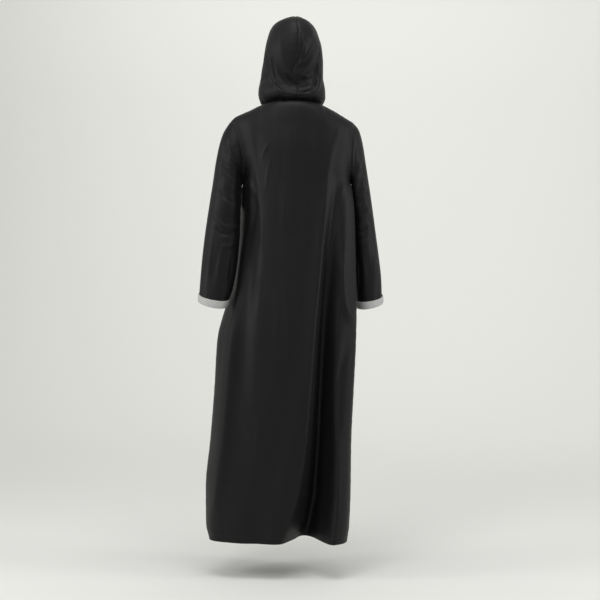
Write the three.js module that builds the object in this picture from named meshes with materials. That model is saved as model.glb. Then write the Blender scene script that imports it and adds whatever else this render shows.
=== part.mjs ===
// Hooded gandoura: a long loose robe with set-in sleeves, a two-piece hood worn up and a grey band on each
// cuff. It keeps the hollow form it has when worn. Millimetres, +Z up, the wearer faces -Y, their left hand is
// on +X, and the origin is the middle of the neck base.
import * as THREE from "three";

const { clamp, euclideanModulo, lerp, radToDeg, smoothstep } = THREE.MathUtils;

// Cloth
const WALL = 2; // thickness of the robe's cloth
const BAND_WALL = 3; // thickness of the cuff bands
const BAND_WIDTH = 24; // height of the cuff bands
const SEAM_GAP = 0.3; // between two pieces that meet at a seam
const SAME_POINT = 0.01; // points of two pieces this close together are one point of their seam

// Levels
const HEM_Z = -1405;
const UNDERARM_Z = -250;
const EDGE_PULL = 1.5; // how near the armhole the cloth turns to meet it: more is nearer
const SHOULDER_ROUND = 90; // how far below the shoulder seam the cloth starts to turn over it
const SHOULDER_RISE = { left: 7, right: 1 }; // how far the shoulder seams bow up towards their tips

// Neck opening, where the hood is sewn on
const NECK_HALF_WIDTH = 97;
const NECK_SIDE_Z = 2;
const NECK_BACK_Y = 70;
const NECK_BACK_Z = 8;
const NECK_FRONT_Y = -112;
const NECK_FRONT_Z = -125;
const NECK_SEAM_X = -14; // where the hood's centre seam meets the neck seam
const FACE_EDGE_X = 3; // half the space between the hood's front edges at the foot of the V neck
const V_NECK_CURVE = 1.15; // 1 is a straight V

// Body: half widths, back and front of the section at each level, and where the side seams lie
const BODY = [
  { z: HEM_Z, left: 268, right: 177,
    backLeft: 122, backRight: 160, front: -165, seamLeft: 14, seamRight: 40 },
  { z: -1355, left: 279, right: 184,
    backLeft: 128, backRight: 158, front: -165, seamLeft: -8, seamRight: 40 },
  { z: -1240, left: 280, right: 189,
    backLeft: 134, backRight: 153, front: -164, seamLeft: -24, seamRight: 40 },
  { z: -1090, left: 267, right: 191,
    backLeft: 135, backRight: 146, front: -162, seamLeft: -28, seamRight: 40 },
  { z: -920, left: 254, right: 199,
    backLeft: 134, backRight: 139, front: -158, seamLeft: -30, seamRight: 42 },
  { z: -760, left: 244, right: 207,
    backLeft: 132, backRight: 134, front: -154, seamLeft: -34, seamRight: 42 },
  { z: -660, left: 220, right: 209,
    backLeft: 128, backRight: 129, front: -152, seamLeft: -45, seamRight: 42 },
  { z: -580, left: 198, right: 208,
    backLeft: 124, backRight: 124, front: -151, seamLeft: -58, seamRight: 42 },
  { z: -450, left: 181, right: 205,
    backLeft: 119, backRight: 119, front: -150, seamLeft: -62, seamRight: 41 },
  { z: -360, left: 173, right: 203,
    backLeft: 116, backRight: 116, front: -146, seamLeft: -52, seamRight: 32 },
  { z: -290, left: 168, right: 197,
    backLeft: 113, backRight: 113, front: -143, seamLeft: -36, seamRight: 14 },
  { z: -268, left: 165, right: 194,
    backLeft: 112.4, backRight: 112.4, front: -141.2, seamLeft: -21, seamRight: 4 },
  { z: UNDERARM_Z, left: 160, right: 190,
    backLeft: 112, backRight: 112, front: -140, seamLeft: 0, seamRight: -8 },
  { z: -150, left: 160, right: 190,
    backLeft: 112, backRight: 112, front: -132, seamLeft: 0, seamRight: -8 },
  { z: -60, left: 160, right: 190,
    backLeft: 104, backRight: 104, front: -122, seamLeft: 0, seamRight: -8 },
  { z: NECK_BACK_Z, left: 160, right: 190,
    backLeft: 92, backRight: 92, front: -104, seamLeft: 0, seamRight: -8 },
];

// How square each quarter of the section is: 2 is an ellipse, and less is flatter, where an arm lies
// against it
const SQUARENESS = [
  { z: HEM_Z, backLeft: 2.5, backRight: 3.2, frontLeft: 2.3, frontRight: 2.3 },
  { z: -920, backLeft: 2.3, backRight: 2.7, frontLeft: 2.2, frontRight: 2.1 },
  { z: -640, backLeft: 2.2, backRight: 2.4, frontLeft: 2.2, frontRight: 1.7 },
  { z: UNDERARM_Z, backLeft: 2.1, backRight: 2.3, frontLeft: 2.2, frontRight: 1.5 },
  { z: NECK_BACK_Z, backLeft: 2.1, backRight: 2.3, frontLeft: 2.2, frontRight: 1.8 },
];

// Where the folds have died away above the underarm
const FOLD_END_Z = -195;

// The deep fold down the back: its valley line, its depth, and how far it spreads to the left and right
const DEEP_FOLD = [
  { z: HEM_Z, x: -43, depth: 165, left: 85, right: 95 },
  { z: -1340, x: -58, depth: 148, left: 72, right: 88 },
  { z: -1250, x: -72, depth: 127, left: 60, right: 80 },
  { z: -1100, x: -82, depth: 98, left: 46, right: 70 },
  { z: -900, x: -90, depth: 66, left: 38, right: 62 },
  { z: -700, x: -100, depth: 40, left: 32, right: 56 },
  { z: -550, x: -112, depth: 25, left: 28, right: 52 },
  { z: -450, x: -120, depth: 17, left: 27, right: 48 },
  { z: -360, x: -131, depth: 11, left: 27, right: 44 },
  { z: UNDERARM_Z, x: -140, depth: 5, left: 28, right: 40 },
  { z: FOLD_END_Z, x: -140, depth: 5, left: 28, right: 40 },
];
const SEAM_PULL = 12; // just below the armpits the side seams pull only the cloth near them, by this power
const SEAM_PULL_REACH = 180; // and this far below them they pull the whole side
const FOLD_FREE_SHARE = 0.93; // from here out to the side seam the soft folds die away

// Soft folds of the back and front: a line down the cloth, how far it stands out, and its half width
const BACK_FOLDS = [
  [
    { z: HEM_Z, x: 258, out: 0, width: 30 },
    { z: -1245, x: 240, out: 6, width: 26 },
    { z: -1039, x: 214, out: 9, width: 24 },
    { z: -804, x: 196, out: 9, width: 22 },
    { z: -522, x: 160, out: 5, width: 20 },
    { z: -390, x: 150, out: 0, width: 18 },
  ],
  [
    { z: -1300, x: 165, out: 0, width: 40 },
    { z: -1000, x: 158, out: -8, width: 36 },
    { z: -700, x: 150, out: -9, width: 30 },
    { z: -525, x: 132, out: -7, width: 24 },
    { z: -317, x: 118, out: -5, width: 22 },
    { z: UNDERARM_Z, x: 120, out: 0, width: 20 },
    { z: FOLD_END_Z, x: 120, out: 0, width: 20 },
  ],
  [
    { z: HEM_Z, x: 60, out: 8, width: 40 },
    { z: -1250, x: 20, out: 8, width: 36 },
    { z: -900, x: -40, out: 7, width: 30 },
    { z: -600, x: -74, out: 5, width: 26 },
    { z: -367, x: -98, out: 3, width: 24 },
    { z: UNDERARM_Z, x: -110, out: 0, width: 24 },
    { z: FOLD_END_Z, x: -110, out: 0, width: 24 },
  ],
  [
    { z: -1120, x: -148, out: 0, width: 18 },
    { z: -950, x: -150, out: -7, width: 18 },
    { z: -800, x: -176, out: -5, width: 18 },
    { z: -720, x: -186, out: 0, width: 18 },
  ],
  [
    { z: -720, x: -192, out: 0, width: 18 },
    { z: -640, x: -172, out: 7, width: 18 },
    { z: -540, x: -163, out: 6, width: 18 },
    { z: -430, x: -168, out: 0, width: 18 },
  ],
];
const FRONT_FOLDS = [
  [
    { z: HEM_Z, x: 26, out: -48, width: 42 },
    { z: -1200, x: 22, out: -30, width: 38 },
    { z: -950, x: 14, out: -16, width: 34 },
    { z: -700, x: 6, out: -6, width: 30 },
    { z: -500, x: 0, out: 0, width: 28 },
  ],
  [
    { z: HEM_Z, x: 140, out: -22, width: 34 },
    { z: -1100, x: 128, out: -14, width: 30 },
    { z: -750, x: 112, out: -8, width: 26 },
    { z: -480, x: 96, out: 0, width: 24 },
  ],
  [
    { z: HEM_Z, x: -104, out: -18, width: 30 },
    { z: -1050, x: -98, out: -12, width: 28 },
    { z: -620, x: -92, out: -6, width: 24 },
    { z: -380, x: -84, out: 0, width: 22 },
  ],
];

// Sleeves: the outer and inner point of each ring, the ring's middle and half depth from front to back, how
// far its back drops below that line, and how far the armhole bows in. The first ring is the armhole and the
// last the cuff.
const SLEEVE_LEFT = [
  { ring: 0, outerX: 200, outerZ: -50, innerX: 160, innerZ: UNDERARM_Z,
    midY: 0, halfDepth: 58, drop: 0, bow: 16 },
  { ring: 1, outerX: 222, outerZ: -86, innerX: 162.2, innerZ: -259,
    midY: 6, halfDepth: 60, drop: 0, bow: 9 },
  { ring: 2, outerX: 235, outerZ: -128, innerX: 163.4, innerZ: -272,
    midY: 14, halfDepth: 61, drop: 0, bow: 4 },
  { ring: 3, outerX: 247, outerZ: -190, innerX: 163.6, innerZ: -294,
    midY: 20, halfDepth: 61, drop: 0, bow: 0 },
  { ring: 4, outerX: 256, outerZ: -255, innerX: 163.6, innerZ: -324,
    midY: 25, halfDepth: 60, drop: 2, bow: 0 },
  { ring: 5, outerX: 267, outerZ: -325, innerX: 165, innerZ: -364,
    midY: 29, halfDepth: 58, drop: 4, bow: 0 },
  { ring: 6, outerX: 279, outerZ: -410, innerX: 167, innerZ: -418,
    midY: 31, halfDepth: 55, drop: 6, bow: 0 },
  { ring: 7, outerX: 288, outerZ: -490, innerX: 173, innerZ: -492,
    midY: 36, halfDepth: 51, drop: 8, bow: 0 },
  { ring: 8, outerX: 295, outerZ: -570, innerX: 188, innerZ: -584,
    midY: 41, halfDepth: 48, drop: 12, bow: 0 },
  { ring: 9, outerX: 300, outerZ: -633, innerX: 211, innerZ: -652,
    midY: 45, halfDepth: 45, drop: 14, bow: 0 },
];
const SLEEVE_RIGHT = [
  { ring: 0, outerX: -205, outerZ: -58, innerX: -190, innerZ: UNDERARM_Z,
    midY: -8, halfDepth: 56, drop: 0, bow: 5 },
  { ring: 1, outerX: -221, outerZ: -90, innerX: -192.8, innerZ: -259,
    midY: -15, halfDepth: 57, drop: 0, bow: 3 },
  { ring: 2, outerX: -232, outerZ: -128, innerX: -192.4, innerZ: -274,
    midY: -22, halfDepth: 57, drop: 0, bow: 1 },
  { ring: 3, outerX: -242, outerZ: -188, innerX: -191.5, innerZ: -299,
    midY: -28, halfDepth: 56, drop: 0, bow: 0 },
  { ring: 4, outerX: -252, outerZ: -255, innerX: -191, innerZ: -327,
    midY: -32, halfDepth: 54, drop: 2, bow: 0 },
  { ring: 5, outerX: -262, outerZ: -325, innerX: -195, innerZ: -364,
    midY: -35, halfDepth: 53, drop: 4, bow: 0 },
  { ring: 6, outerX: -274, outerZ: -410, innerX: -196, innerZ: -416,
    midY: -39, halfDepth: 52, drop: 6, bow: 0 },
  { ring: 7, outerX: -286, outerZ: -490, innerX: -199, innerZ: -490,
    midY: -42, halfDepth: 50, drop: 8, bow: 0 },
  { ring: 8, outerX: -295, outerZ: -570, innerX: -205, innerZ: -580,
    midY: -45, halfDepth: 48, drop: 12, bow: 0 },
  { ring: 9, outerX: -297, outerZ: -638, innerX: -214, innerZ: -655,
    midY: -46, halfDepth: 45, drop: 14, bow: 0 },
];
const CUFF_RING = 9;

// Soft creases of the sleeves: the ring and the angle round it (90 is the back), how far they stand out, how
// many rings and degrees they spread
const LEFT_CREASES = [
  { ring: 2.2, angle: 62, out: -5, rings: 0.5, spread: 26 },
  { ring: 3.1, angle: 84, out: -5, rings: 0.45, spread: 30 },
  { ring: 5.4, angle: 118, out: -5, rings: 0.5, spread: 32 },
  { ring: 5.1, angle: 285, out: -6, rings: 0.5, spread: 40 },
  { ring: 7.6, angle: 70, out: -3, rings: 0.4, spread: 30 },
];
const RIGHT_CREASES = [
  { ring: 2.8, angle: 66, out: -5, rings: 0.5, spread: 28 },
  { ring: 4.2, angle: 96, out: -6, rings: 0.45, spread: 30 },
  { ring: 5.3, angle: 270, out: -7, rings: 0.5, spread: 42 },
  { ring: 6.6, angle: 50, out: -4, rings: 0.5, spread: 30 },
];

// Hood: rows from the neck seam up over the head to the middle of the forehead. Each runs from the centre
// seam, round the side, to the face edge, the same on both halves but for the side and edge widths.
const HOOD = [
  { row: 0, seamX: NECK_SEAM_X, seamY: NECK_BACK_Y, seamZ: NECK_BACK_Z,
    left: NECK_HALF_WIDTH, right: NECK_HALF_WIDTH, sideY: 0, sideZ: NECK_SIDE_Z,
    edge: FACE_EDGE_X, edgeX: 0, edgeY: NECK_FRONT_Y, edgeZ: NECK_FRONT_Z },
  { row: 1, seamX: -14, seamY: 87, seamZ: 17, left: 104, right: 103, sideY: 0, sideZ: 12,
    edge: 15, edgeX: 0, edgeY: -117, edgeZ: -104 },
  { row: 2, seamX: -15, seamY: 99, seamZ: 26, left: 109, right: 107, sideY: 0, sideZ: 26,
    edge: 28, edgeX: 0, edgeY: -119, edgeZ: -82 },
  { row: 3, seamX: -16, seamY: 103, seamZ: 37, left: 111, right: 107, sideY: 0, sideZ: 40,
    edge: 42, edgeX: 0, edgeY: -119, edgeZ: -58 },
  { row: 4, seamX: -17, seamY: 99, seamZ: 49, left: 110, right: 106, sideY: 0, sideZ: 55,
    edge: 54, edgeX: 0, edgeY: -118, edgeZ: -34 },
  { row: 5, seamX: -18, seamY: 93, seamZ: 62, left: 107, right: 103, sideY: 0, sideZ: 71,
    edge: 63, edgeX: 0, edgeY: -116, edgeZ: -10 },
  { row: 6, seamX: -19, seamY: 90, seamZ: 80, left: 103, right: 100, sideY: 0, sideZ: 90,
    edge: 70, edgeX: 0, edgeY: -114, edgeZ: 16 },
  { row: 7, seamX: -20, seamY: 93, seamZ: 104, left: 100, right: 100, sideY: 0, sideZ: 114,
    edge: 76, edgeX: 0, edgeY: -112, edgeZ: 46 },
  { row: 8, seamX: -20, seamY: 101, seamZ: 134, left: 95, right: 100, sideY: 0, sideZ: 140,
    edge: 80, edgeX: -1, edgeY: -110, edgeZ: 80 },
  { row: 9, seamX: -20, seamY: 107, seamZ: 166, left: 91, right: 98, sideY: 0, sideZ: 168,
    edge: 82, edgeX: -2, edgeY: -109, edgeZ: 116 },
  { row: 10, seamX: -19, seamY: 108, seamZ: 196, left: 86, right: 94, sideY: -2, sideZ: 196,
    edge: 81, edgeX: -3, edgeY: -108, edgeZ: 150 },
  { row: 11, seamX: -18, seamY: 103, seamZ: 224, left: 80, right: 87, sideY: -6, sideZ: 220,
    edge: 76, edgeX: -4, edgeY: -108, edgeZ: 180 },
  { row: 12, seamX: -16, seamY: 92, seamZ: 250, left: 73, right: 80, sideY: -12, sideZ: 242,
    edge: 70, edgeX: -5, edgeY: -108, edgeZ: 205 },
  { row: 13, seamX: -14, seamY: 74, seamZ: 270, left: 64, right: 71, sideY: -22, sideZ: 259,
    edge: 61, edgeX: -6, edgeY: -109, edgeZ: 225 },
  { row: 14, seamX: -12, seamY: 48, seamZ: 281, left: 51, right: 60, sideY: -36, sideZ: 271,
    edge: 48, edgeX: -7, edgeY: -110, edgeZ: 241 },
  { row: 15, seamX: -11, seamY: 16, seamZ: 289, left: 37, right: 49, sideY: -54, sideZ: 278,
    edge: 33, edgeX: -8, edgeY: -111, edgeZ: 252 },
  { row: 16, seamX: -10, seamY: -20, seamZ: 290, left: 22, right: 36, sideY: -72, sideZ: 280,
    edge: 21, edgeX: -8, edgeY: -112, edgeZ: 260 },
  { row: 17, seamX: -9, seamY: -62, seamZ: 283, left: 7, right: 23, sideY: -92, sideZ: 276,
    edge: 10, edgeX: -8, edgeY: -112, edgeZ: 265 },
];
const FOREHEAD = { x: -8, y: -112, z: 268 };

// The U-shaped tuck on the back of the hood, between the head and the roll of cloth round the neck
const TUCK = { x: -12, z: 190, left: 72, right: 78, bottom: 132, depth: 24, width: 18, sharpness: 2 };

// How finely each piece is divided
const BODY_ROWS = 18; // from the hem to the underarm
const ARMHOLE_ROWS = 10; // from the underarm to the shoulder, half of each sleeve ring
const SHOULDER_COLUMNS = 6;
const NECK_COLUMNS = { backLeft: 13, backRight: 12, front: 8 };
const FOLD_COLUMNS = { before: 13, left: 8, right: 8, after: 8 };
const FOLD_MARGIN = { left: 12, right: 8 }; // cloth beside the deep fold that belongs to its columns
const FOLD_COLUMNS_FROM = 0; // below the underarm, where columns start to gather at the deep fold
const FOLD_COLUMNS_TO = 420; // and where they follow it fully
const SLEEVE_ROWS = 18; // from the armhole to the band
const HOOD_STATIONS = [
  0, 1, 2, 3, 3.5, 4, 4.5, 5, 5.5, 6, 6.5, 7, 7.5, 8, 9, 10, 11, 12, 13, 14, 15, 16, 17,
];
const BAND_ROWS = 2;

// Looks
const BLACK_CLOTH = { color: 0x1b1b1e, roughness: 0.72, metalness: 0 };
const GREY_BAND = { color: 0xb4b4b1, roughness: 0.6, metalness: 0 };

// A smooth curve through the points (xs, ys), which rises and falls only where they do. xs goes up.
function monotoneCurve(xs, ys) {
  const slopes = xs.slice(1).map((x, i) => (ys[i + 1] - ys[i]) / (x - xs[i]));
  const tangents = xs.map((_, i) => {
    const before = slopes[Math.max(i - 1, 0)];
    const after = slopes[Math.min(i, slopes.length - 1)];
    return before * after > 0 ? (2 * before * after) / (before + after) : 0;
  });
  return (x) => {
    let i = 0;
    while (i < slopes.length - 1 && x > xs[i + 1]) i += 1;
    const step = xs[i + 1] - xs[i];
    const t = clamp((x - xs[i]) / step, 0, 1);
    const rise = 3 * t * t - 2 * t * t * t;
    const start = (t * t * t - 2 * t * t + t) * step * tangents[i];
    const end = (t * t * t - t * t) * step * tangents[i + 1];
    return lerp(ys[i], ys[i + 1], rise) + start + end;
  };
}

// Reads a table between its rows: key is the column that says where each row is
function reader(rows, key) {
  const xs = rows.map((row) => row[key]);
  const curves = Object.keys(rows[0])
    .filter((name) => name !== key)
    .map((name) => [name, monotoneCurve(xs, rows.map((row) => row[name]))]);
  return (x) => Object.fromEntries(curves.map(([name, curve]) => [name, curve(x)]));
}

const bodyAt = reader(BODY, "z");
const squarenessAt = reader(SQUARENESS, "z");
const deepFoldAt = reader(DEEP_FOLD, "z");
const foldOf = (rows) => ({ top: rows.at(-1).z, foot: rows[0].z, at: reader(rows, "z") });
const softFolds = { back: BACK_FOLDS.map(foldOf), front: FRONT_FOLDS.map(foldOf) };
const hoodAt = reader(HOOD, "row");
const sleeves = {
  left: { side: 1, at: reader(SLEEVE_LEFT, "ring"), creases: LEFT_CREASES },
  right: { side: -1, at: reader(SLEEVE_RIGHT, "ring"), creases: RIGHT_CREASES },
};

// The quarter of the body's section that holds x, on the back or on the front
function quarterAt(face, x, z) {
  const body = bodyAt(z);
  const half = x >= 0 ? "Left" : "Right";
  let middle = body.front;
  if (face === "back") {
    const fold = deepFoldAt(z);
    middle = lerp(body.backRight, body.backLeft, smoothstep(x, fold.x - fold.right, fold.x + fold.left));
  }
  const reach = x >= 0 ? body.left : body.right;
  return {
    reach,
    seamY: lerp(body.seamRight, body.seamLeft, (1 + x / reach) / 2),
    middle,
    power: squarenessAt(z)[face + half],
  };
}

// How far across the panel a column is, from the angle round the section: 0 is the left seam and pi the right
// one. The quarter is the one beside the middle line on that side.
function acrossAt(face, angle, z) {
  const sign = Math.cos(angle) >= 0 ? 1 : -1;
  const quarter = quarterAt(face, sign * Number.EPSILON, z);
  return sign * quarter.reach * Math.abs(Math.cos(angle)) ** (2 / quarter.power);
}

// The angle round the section of a point that lies x across
function angleAt(face, x, z) {
  const quarter = quarterAt(face, x, z);
  const angle = Math.acos(clamp(Math.abs(x) / quarter.reach, 0, 1) ** (quarter.power / 2));
  return x >= 0 ? angle : Math.PI - angle;
}

// The deep fold's depth at a point, as a smooth valley with a steep left bank
function deepFoldDepth(x, z) {
  const fold = deepFoldAt(z);
  const reach = x > fold.x ? fold.left : fold.right;
  const t = clamp(Math.abs(x - fold.x) / reach, 0, 1);
  const fade = smoothstep(-z, -FOLD_END_Z, -UNDERARM_Z);
  return (fade * fold.depth * (1 + Math.cos(Math.PI * t))) / 2;
}

// How far the soft folds stand out at a point
function softFoldHeight(face, x, z) {
  let height = 0;
  for (const { top, foot, at } of softFolds[face]) {
    if (z > top || z < foot) continue;
    const fold = at(z);
    height += fold.out * Math.exp(-(((x - fold.x) / fold.width) ** 2));
  }
  return height;
}

// A point of the body below the underarm, x across the front or back panel
function bodyPoint(face, x, z) {
  const { reach, seamY, middle, power } = quarterAt(face, x, z);
  const share = clamp(Math.abs(x) / reach, 0, 1);
  const rise = (1 - share ** power) ** (1 / power);
  const armpitY = quarterAt(face, x, UNDERARM_Z).seamY;
  const pulled = armpitY + (middle - armpitY) * rise + (seamY - armpitY) * share ** SEAM_PULL;
  const hanging = seamY + (middle - seamY) * rise;
  const y = lerp(pulled, hanging, smoothstep(UNDERARM_Z - z, 0, SEAM_PULL_REACH));
  const outX = (Math.sign(x) * share ** (power - 1)) / reach;
  const outY = rise ** (power - 1) / (middle - seamY);
  const out = new THREE.Vector3(outX, outY, 0).normalize();
  const flat = 1 - smoothstep(share, FOLD_FREE_SHARE, 1);
  const height = flat * softFoldHeight(face, x, z);
  const point = new THREE.Vector3(x, y, z).addScaledVector(out, height);
  if (face === "back") point.y -= deepFoldDepth(x, z);
  return point;
}

// A point of a sleeve: the angle is 0 at the outer point, a quarter turn at the back and a half turn under
// the arm
function sleevePoint(sleeve, ring, angle) {
  const row = sleeve.at(ring);
  const across = Math.cos(angle);
  const back = Math.sin(angle);
  const point = new THREE.Vector3(
    lerp(row.innerX, row.outerX, (1 + across) / 2) - sleeve.side * row.bow * back * back,
    row.midY + row.halfDepth * back,
    lerp(row.innerZ, row.outerZ, (1 + across) / 2) - row.drop * back,
  );
  const middle = new THREE.Vector3((row.innerX + row.outerX) / 2, row.midY, (row.innerZ + row.outerZ) / 2);
  const out = point.clone().sub(middle).normalize();
  for (const crease of sleeve.creases) {
    const turned = radToDeg(angle) - crease.angle;
    const along = (ring - crease.ring) / crease.rings;
    const around = (euclideanModulo(turned + 180, 360) - 180) / crease.spread;
    point.addScaledVector(out, crease.out * Math.exp(-along * along - around * around));
  }
  return point;
}

// A point of one row of the hood: turn goes from 0 at the centre seam, by 1 at the side, to 2 at the face
// edge
function hoodRowPoint(row, side, turn) {
  const reach = side > 0 ? row.left : -row.right;
  const edge = row.edgeX + side * row.edge;
  const angle = (Math.min(turn, 1) * Math.PI) / 2;
  if (turn <= 1)
    return new THREE.Vector3(
      lerp(row.seamX, reach, Math.sin(angle)),
      lerp(row.sideY, row.seamY, Math.cos(angle)),
      lerp(row.seamZ, row.sideZ, Math.sin(angle) ** 2),
    );
  const forward = ((turn - 1) * Math.PI) / 2;
  return new THREE.Vector3(
    lerp(edge, reach, Math.cos(forward)),
    lerp(row.sideY, row.edgeY, Math.sin(forward)),
    lerp(row.edgeZ, row.sideZ, Math.max(Math.cos(forward), 0) ** V_NECK_CURVE),
  );
}

// How deep the tuck of the hood is at a point of its back
function tuckDepth(point) {
  if (point.y < 0 || point.z > TUCK.z) return 0;
  const reach = point.x > TUCK.x ? TUCK.left : TUCK.right;
  const away = Math.hypot((point.x - TUCK.x) / reach, (point.z - TUCK.z) / TUCK.bottom) - 1;
  const lower = clamp((TUCK.z - point.z) / TUCK.bottom, 0, 1) ** TUCK.sharpness;
  const across = (away * (reach + TUCK.bottom)) / 2 / TUCK.width;
  return TUCK.depth * lower * Math.exp(-across * across);
}

function hoodPoint(station, side, turn) {
  const point = hoodRowPoint(hoodAt(station), side, turn);
  const inward = new THREE.Vector3(TUCK.x - point.x, -point.y, 0).normalize();
  return point.addScaledVector(inward, Math.min(station, 1) * tuckDepth(point));
}

// The points of a panel's top edge, from the left shoulder tip over the neck to the right one
function topEdge(face) {
  const neck = HOOD[0];
  const points = [];
  const shoulder = (side, share) => {
    const name = side > 0 ? "left" : "right";
    const tip = sleevePoint(sleeves[name], 0, 0);
    const point = new THREE.Vector3(side * NECK_HALF_WIDTH, 0, NECK_SIDE_Z).lerp(tip, share);
    point.z += SHOULDER_RISE[name] * Math.sin(Math.PI * share * share);
    return point;
  };
  const neckTurns = (columns, from, to) =>
    Array.from({ length: columns + 1 }, (_, i) => lerp(from, to, i / columns));
  for (let i = SHOULDER_COLUMNS; i > 0; i -= 1) points.push(shoulder(1, i / SHOULDER_COLUMNS));
  if (face === "back") {
    points.push(...neckTurns(NECK_COLUMNS.backLeft, 1, 0).map((turn) => hoodRowPoint(neck, 1, turn)));
    const right = neckTurns(NECK_COLUMNS.backRight, 0, 1).slice(1);
    points.push(...right.map((turn) => hoodRowPoint(neck, -1, turn)));
  } else {
    points.push(...neckTurns(NECK_COLUMNS.front, 1, 2).map((turn) => hoodRowPoint(neck, 1, turn)));
    points.push(...neckTurns(NECK_COLUMNS.front, 2, 1).map((turn) => hoodRowPoint(neck, -1, turn)));
  }
  for (let i = 1; i <= SHOULDER_COLUMNS; i += 1) points.push(shoulder(-1, i / SHOULDER_COLUMNS));
  return points;
}

// The angles round the section where a panel's columns lie: those of the back gather at the deep fold
function columnAngles(face, columns, z) {
  const even = Array.from({ length: columns + 1 }, (_, i) => (Math.PI * i) / columns);
  if (face === "front") return even;
  const fold = deepFoldAt(z);
  const { before, left, right, after } = FOLD_COLUMNS;
  const stops = [
    { columns: before, angle: angleAt(face, fold.x + fold.left + FOLD_MARGIN.left, z) },
    { columns: left, angle: angleAt(face, fold.x, z) },
    { columns: right, angle: angleAt(face, fold.x - fold.right - FOLD_MARGIN.right, z) },
    { columns: after, angle: Math.PI },
  ];
  const gathered = [0];
  for (const stop of stops) {
    const start = gathered.at(-1);
    for (let i = 1; i <= stop.columns; i += 1) gathered.push(lerp(start, stop.angle, i / stop.columns));
  }
  const follow = smoothstep(UNDERARM_Z - z, FOLD_COLUMNS_FROM, FOLD_COLUMNS_TO);
  return even.map((angle, i) => lerp(angle, gathered[i], follow));
}

// The rows of a panel from the underarm up: its sides follow the armholes and its top the shoulders and neck
function shoulderRow(face, top, share) {
  const z = UNDERARM_Z;
  const armhole = Math.PI * (face === "back" ? 1 - share : 1 + share);
  const left = sleevePoint(sleeves.left, 0, armhole);
  const right = sleevePoint(sleeves.right, 0, armhole);
  const tips = { left: top[0], right: top.at(-1) };
  const climb = (1 - Math.cos(Math.PI * share)) / 2;
  const blend = smoothstep(share, 0, 1);
  const angles = columnAngles(face, top.length - 1, z);
  return top.map((topPoint, i) => {
    if (i === 0) return left;
    if (i === top.length - 1) return right;
    const low = acrossAt(face, angles[i], z);
    const lowShare = low / (low >= 0 ? bodyAt(z).left : bodyAt(z).right);
    const topShare = topPoint.x / Math.abs(topPoint.x >= 0 ? tips.left.x : tips.right.x);
    const across = lerp(lowShare, topShare, blend);
    const pointZ = lerp(z, topPoint.z, climb);
    const edge = across >= 0 ? left : right;
    const edgeY = lerp(right.y, left.y, (across + 1) / 2);
    const tipY = lerp(tips.right.y, tips.left.y, (across + 1) / 2);
    const x = across * Math.abs(edge.x);
    const { middle, power } = quarterAt(face, x, pointZ);
    const section = (middle - tipY) * (1 - Math.abs(across) ** power) ** (1 / power);
    const armholeEdge = (edgeY - tipY) * Math.abs(across) ** EDGE_PULL;
    const full = tipY + Math.cbrt(section ** 3 + armholeEdge ** 3);
    const below = clamp((topPoint.z - pointZ) / SHOULDER_ROUND, 0, 1);
    const turned = Math.sqrt(1 - (1 - below) ** 2);
    const seam = topPoint.y + (edgeY - tipY);
    const fold = face === "back" ? deepFoldDepth(x, pointZ) : 0;
    return new THREE.Vector3(x, lerp(seam, full, turned) - fold, pointZ);
  });
}

// A front or back panel from the hem to the shoulders
function panelGrid(face) {
  const top = topEdge(face);
  const rows = [];
  for (let i = 0; i <= BODY_ROWS; i += 1) {
    const z = lerp(HEM_Z, UNDERARM_Z, i / BODY_ROWS);
    const angles = columnAngles(face, top.length - 1, z);
    rows.push(angles.map((angle) => bodyPoint(face, acrossAt(face, angle, z), z)));
  }
  for (let i = 1; i <= ARMHOLE_ROWS; i += 1) rows.push(shoulderRow(face, top, i / ARMHOLE_ROWS));
  return { rows };
}

// A sleeve from the armhole to the cuff, its last rows under the band
function sleeveGrid(sleeve) {
  const { outerZ, innerZ } = sleeve.at(CUFF_RING);
  const before = sleeve.at(CUFF_RING - 1);
  const lastStep = (before.outerZ + before.innerZ - outerZ - innerZ) / 2;
  const bandRing = CUFF_RING - BAND_WIDTH / lastStep;
  const stations = [];
  for (let i = 0; i <= SLEEVE_ROWS; i += 1) stations.push((bandRing * i) / SLEEVE_ROWS);
  for (let i = 1; i <= BAND_ROWS; i += 1) stations.push(lerp(bandRing, CUFF_RING, i / BAND_ROWS));
  const count = 2 * ARMHOLE_ROWS;
  const rows = stations.map((ring) =>
    Array.from({ length: count }, (_, i) => sleevePoint(sleeve, ring, (2 * Math.PI * i) / count)),
  );
  return { rows, closed: true };
}

// One half of the hood
function hoodGrid(side) {
  const back = side > 0 ? NECK_COLUMNS.backLeft : NECK_COLUMNS.backRight;
  const turns = [];
  for (let i = 0; i <= back; i += 1) turns.push(i / back);
  for (let i = 1; i <= NECK_COLUMNS.front; i += 1) turns.push(1 + i / NECK_COLUMNS.front);
  const rows = HOOD_STATIONS.map((station) => turns.map((turn) => hoodPoint(station, side, turn)));
  const forehead = new THREE.Vector3(FOREHEAD.x, FOREHEAD.y, FOREHEAD.z);
  rows.push(turns.map(() => forehead));
  return { rows, pole: true };
}

// The quads of a grid, as the row and column of their first corner
function cellsOf({ rows, closed }) {
  const columns = rows[0].length - (closed ? 0 : 1);
  return rows.slice(1).flatMap((_, r) => Array.from({ length: columns }, (_unused, c) => [r, c]));
}

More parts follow.
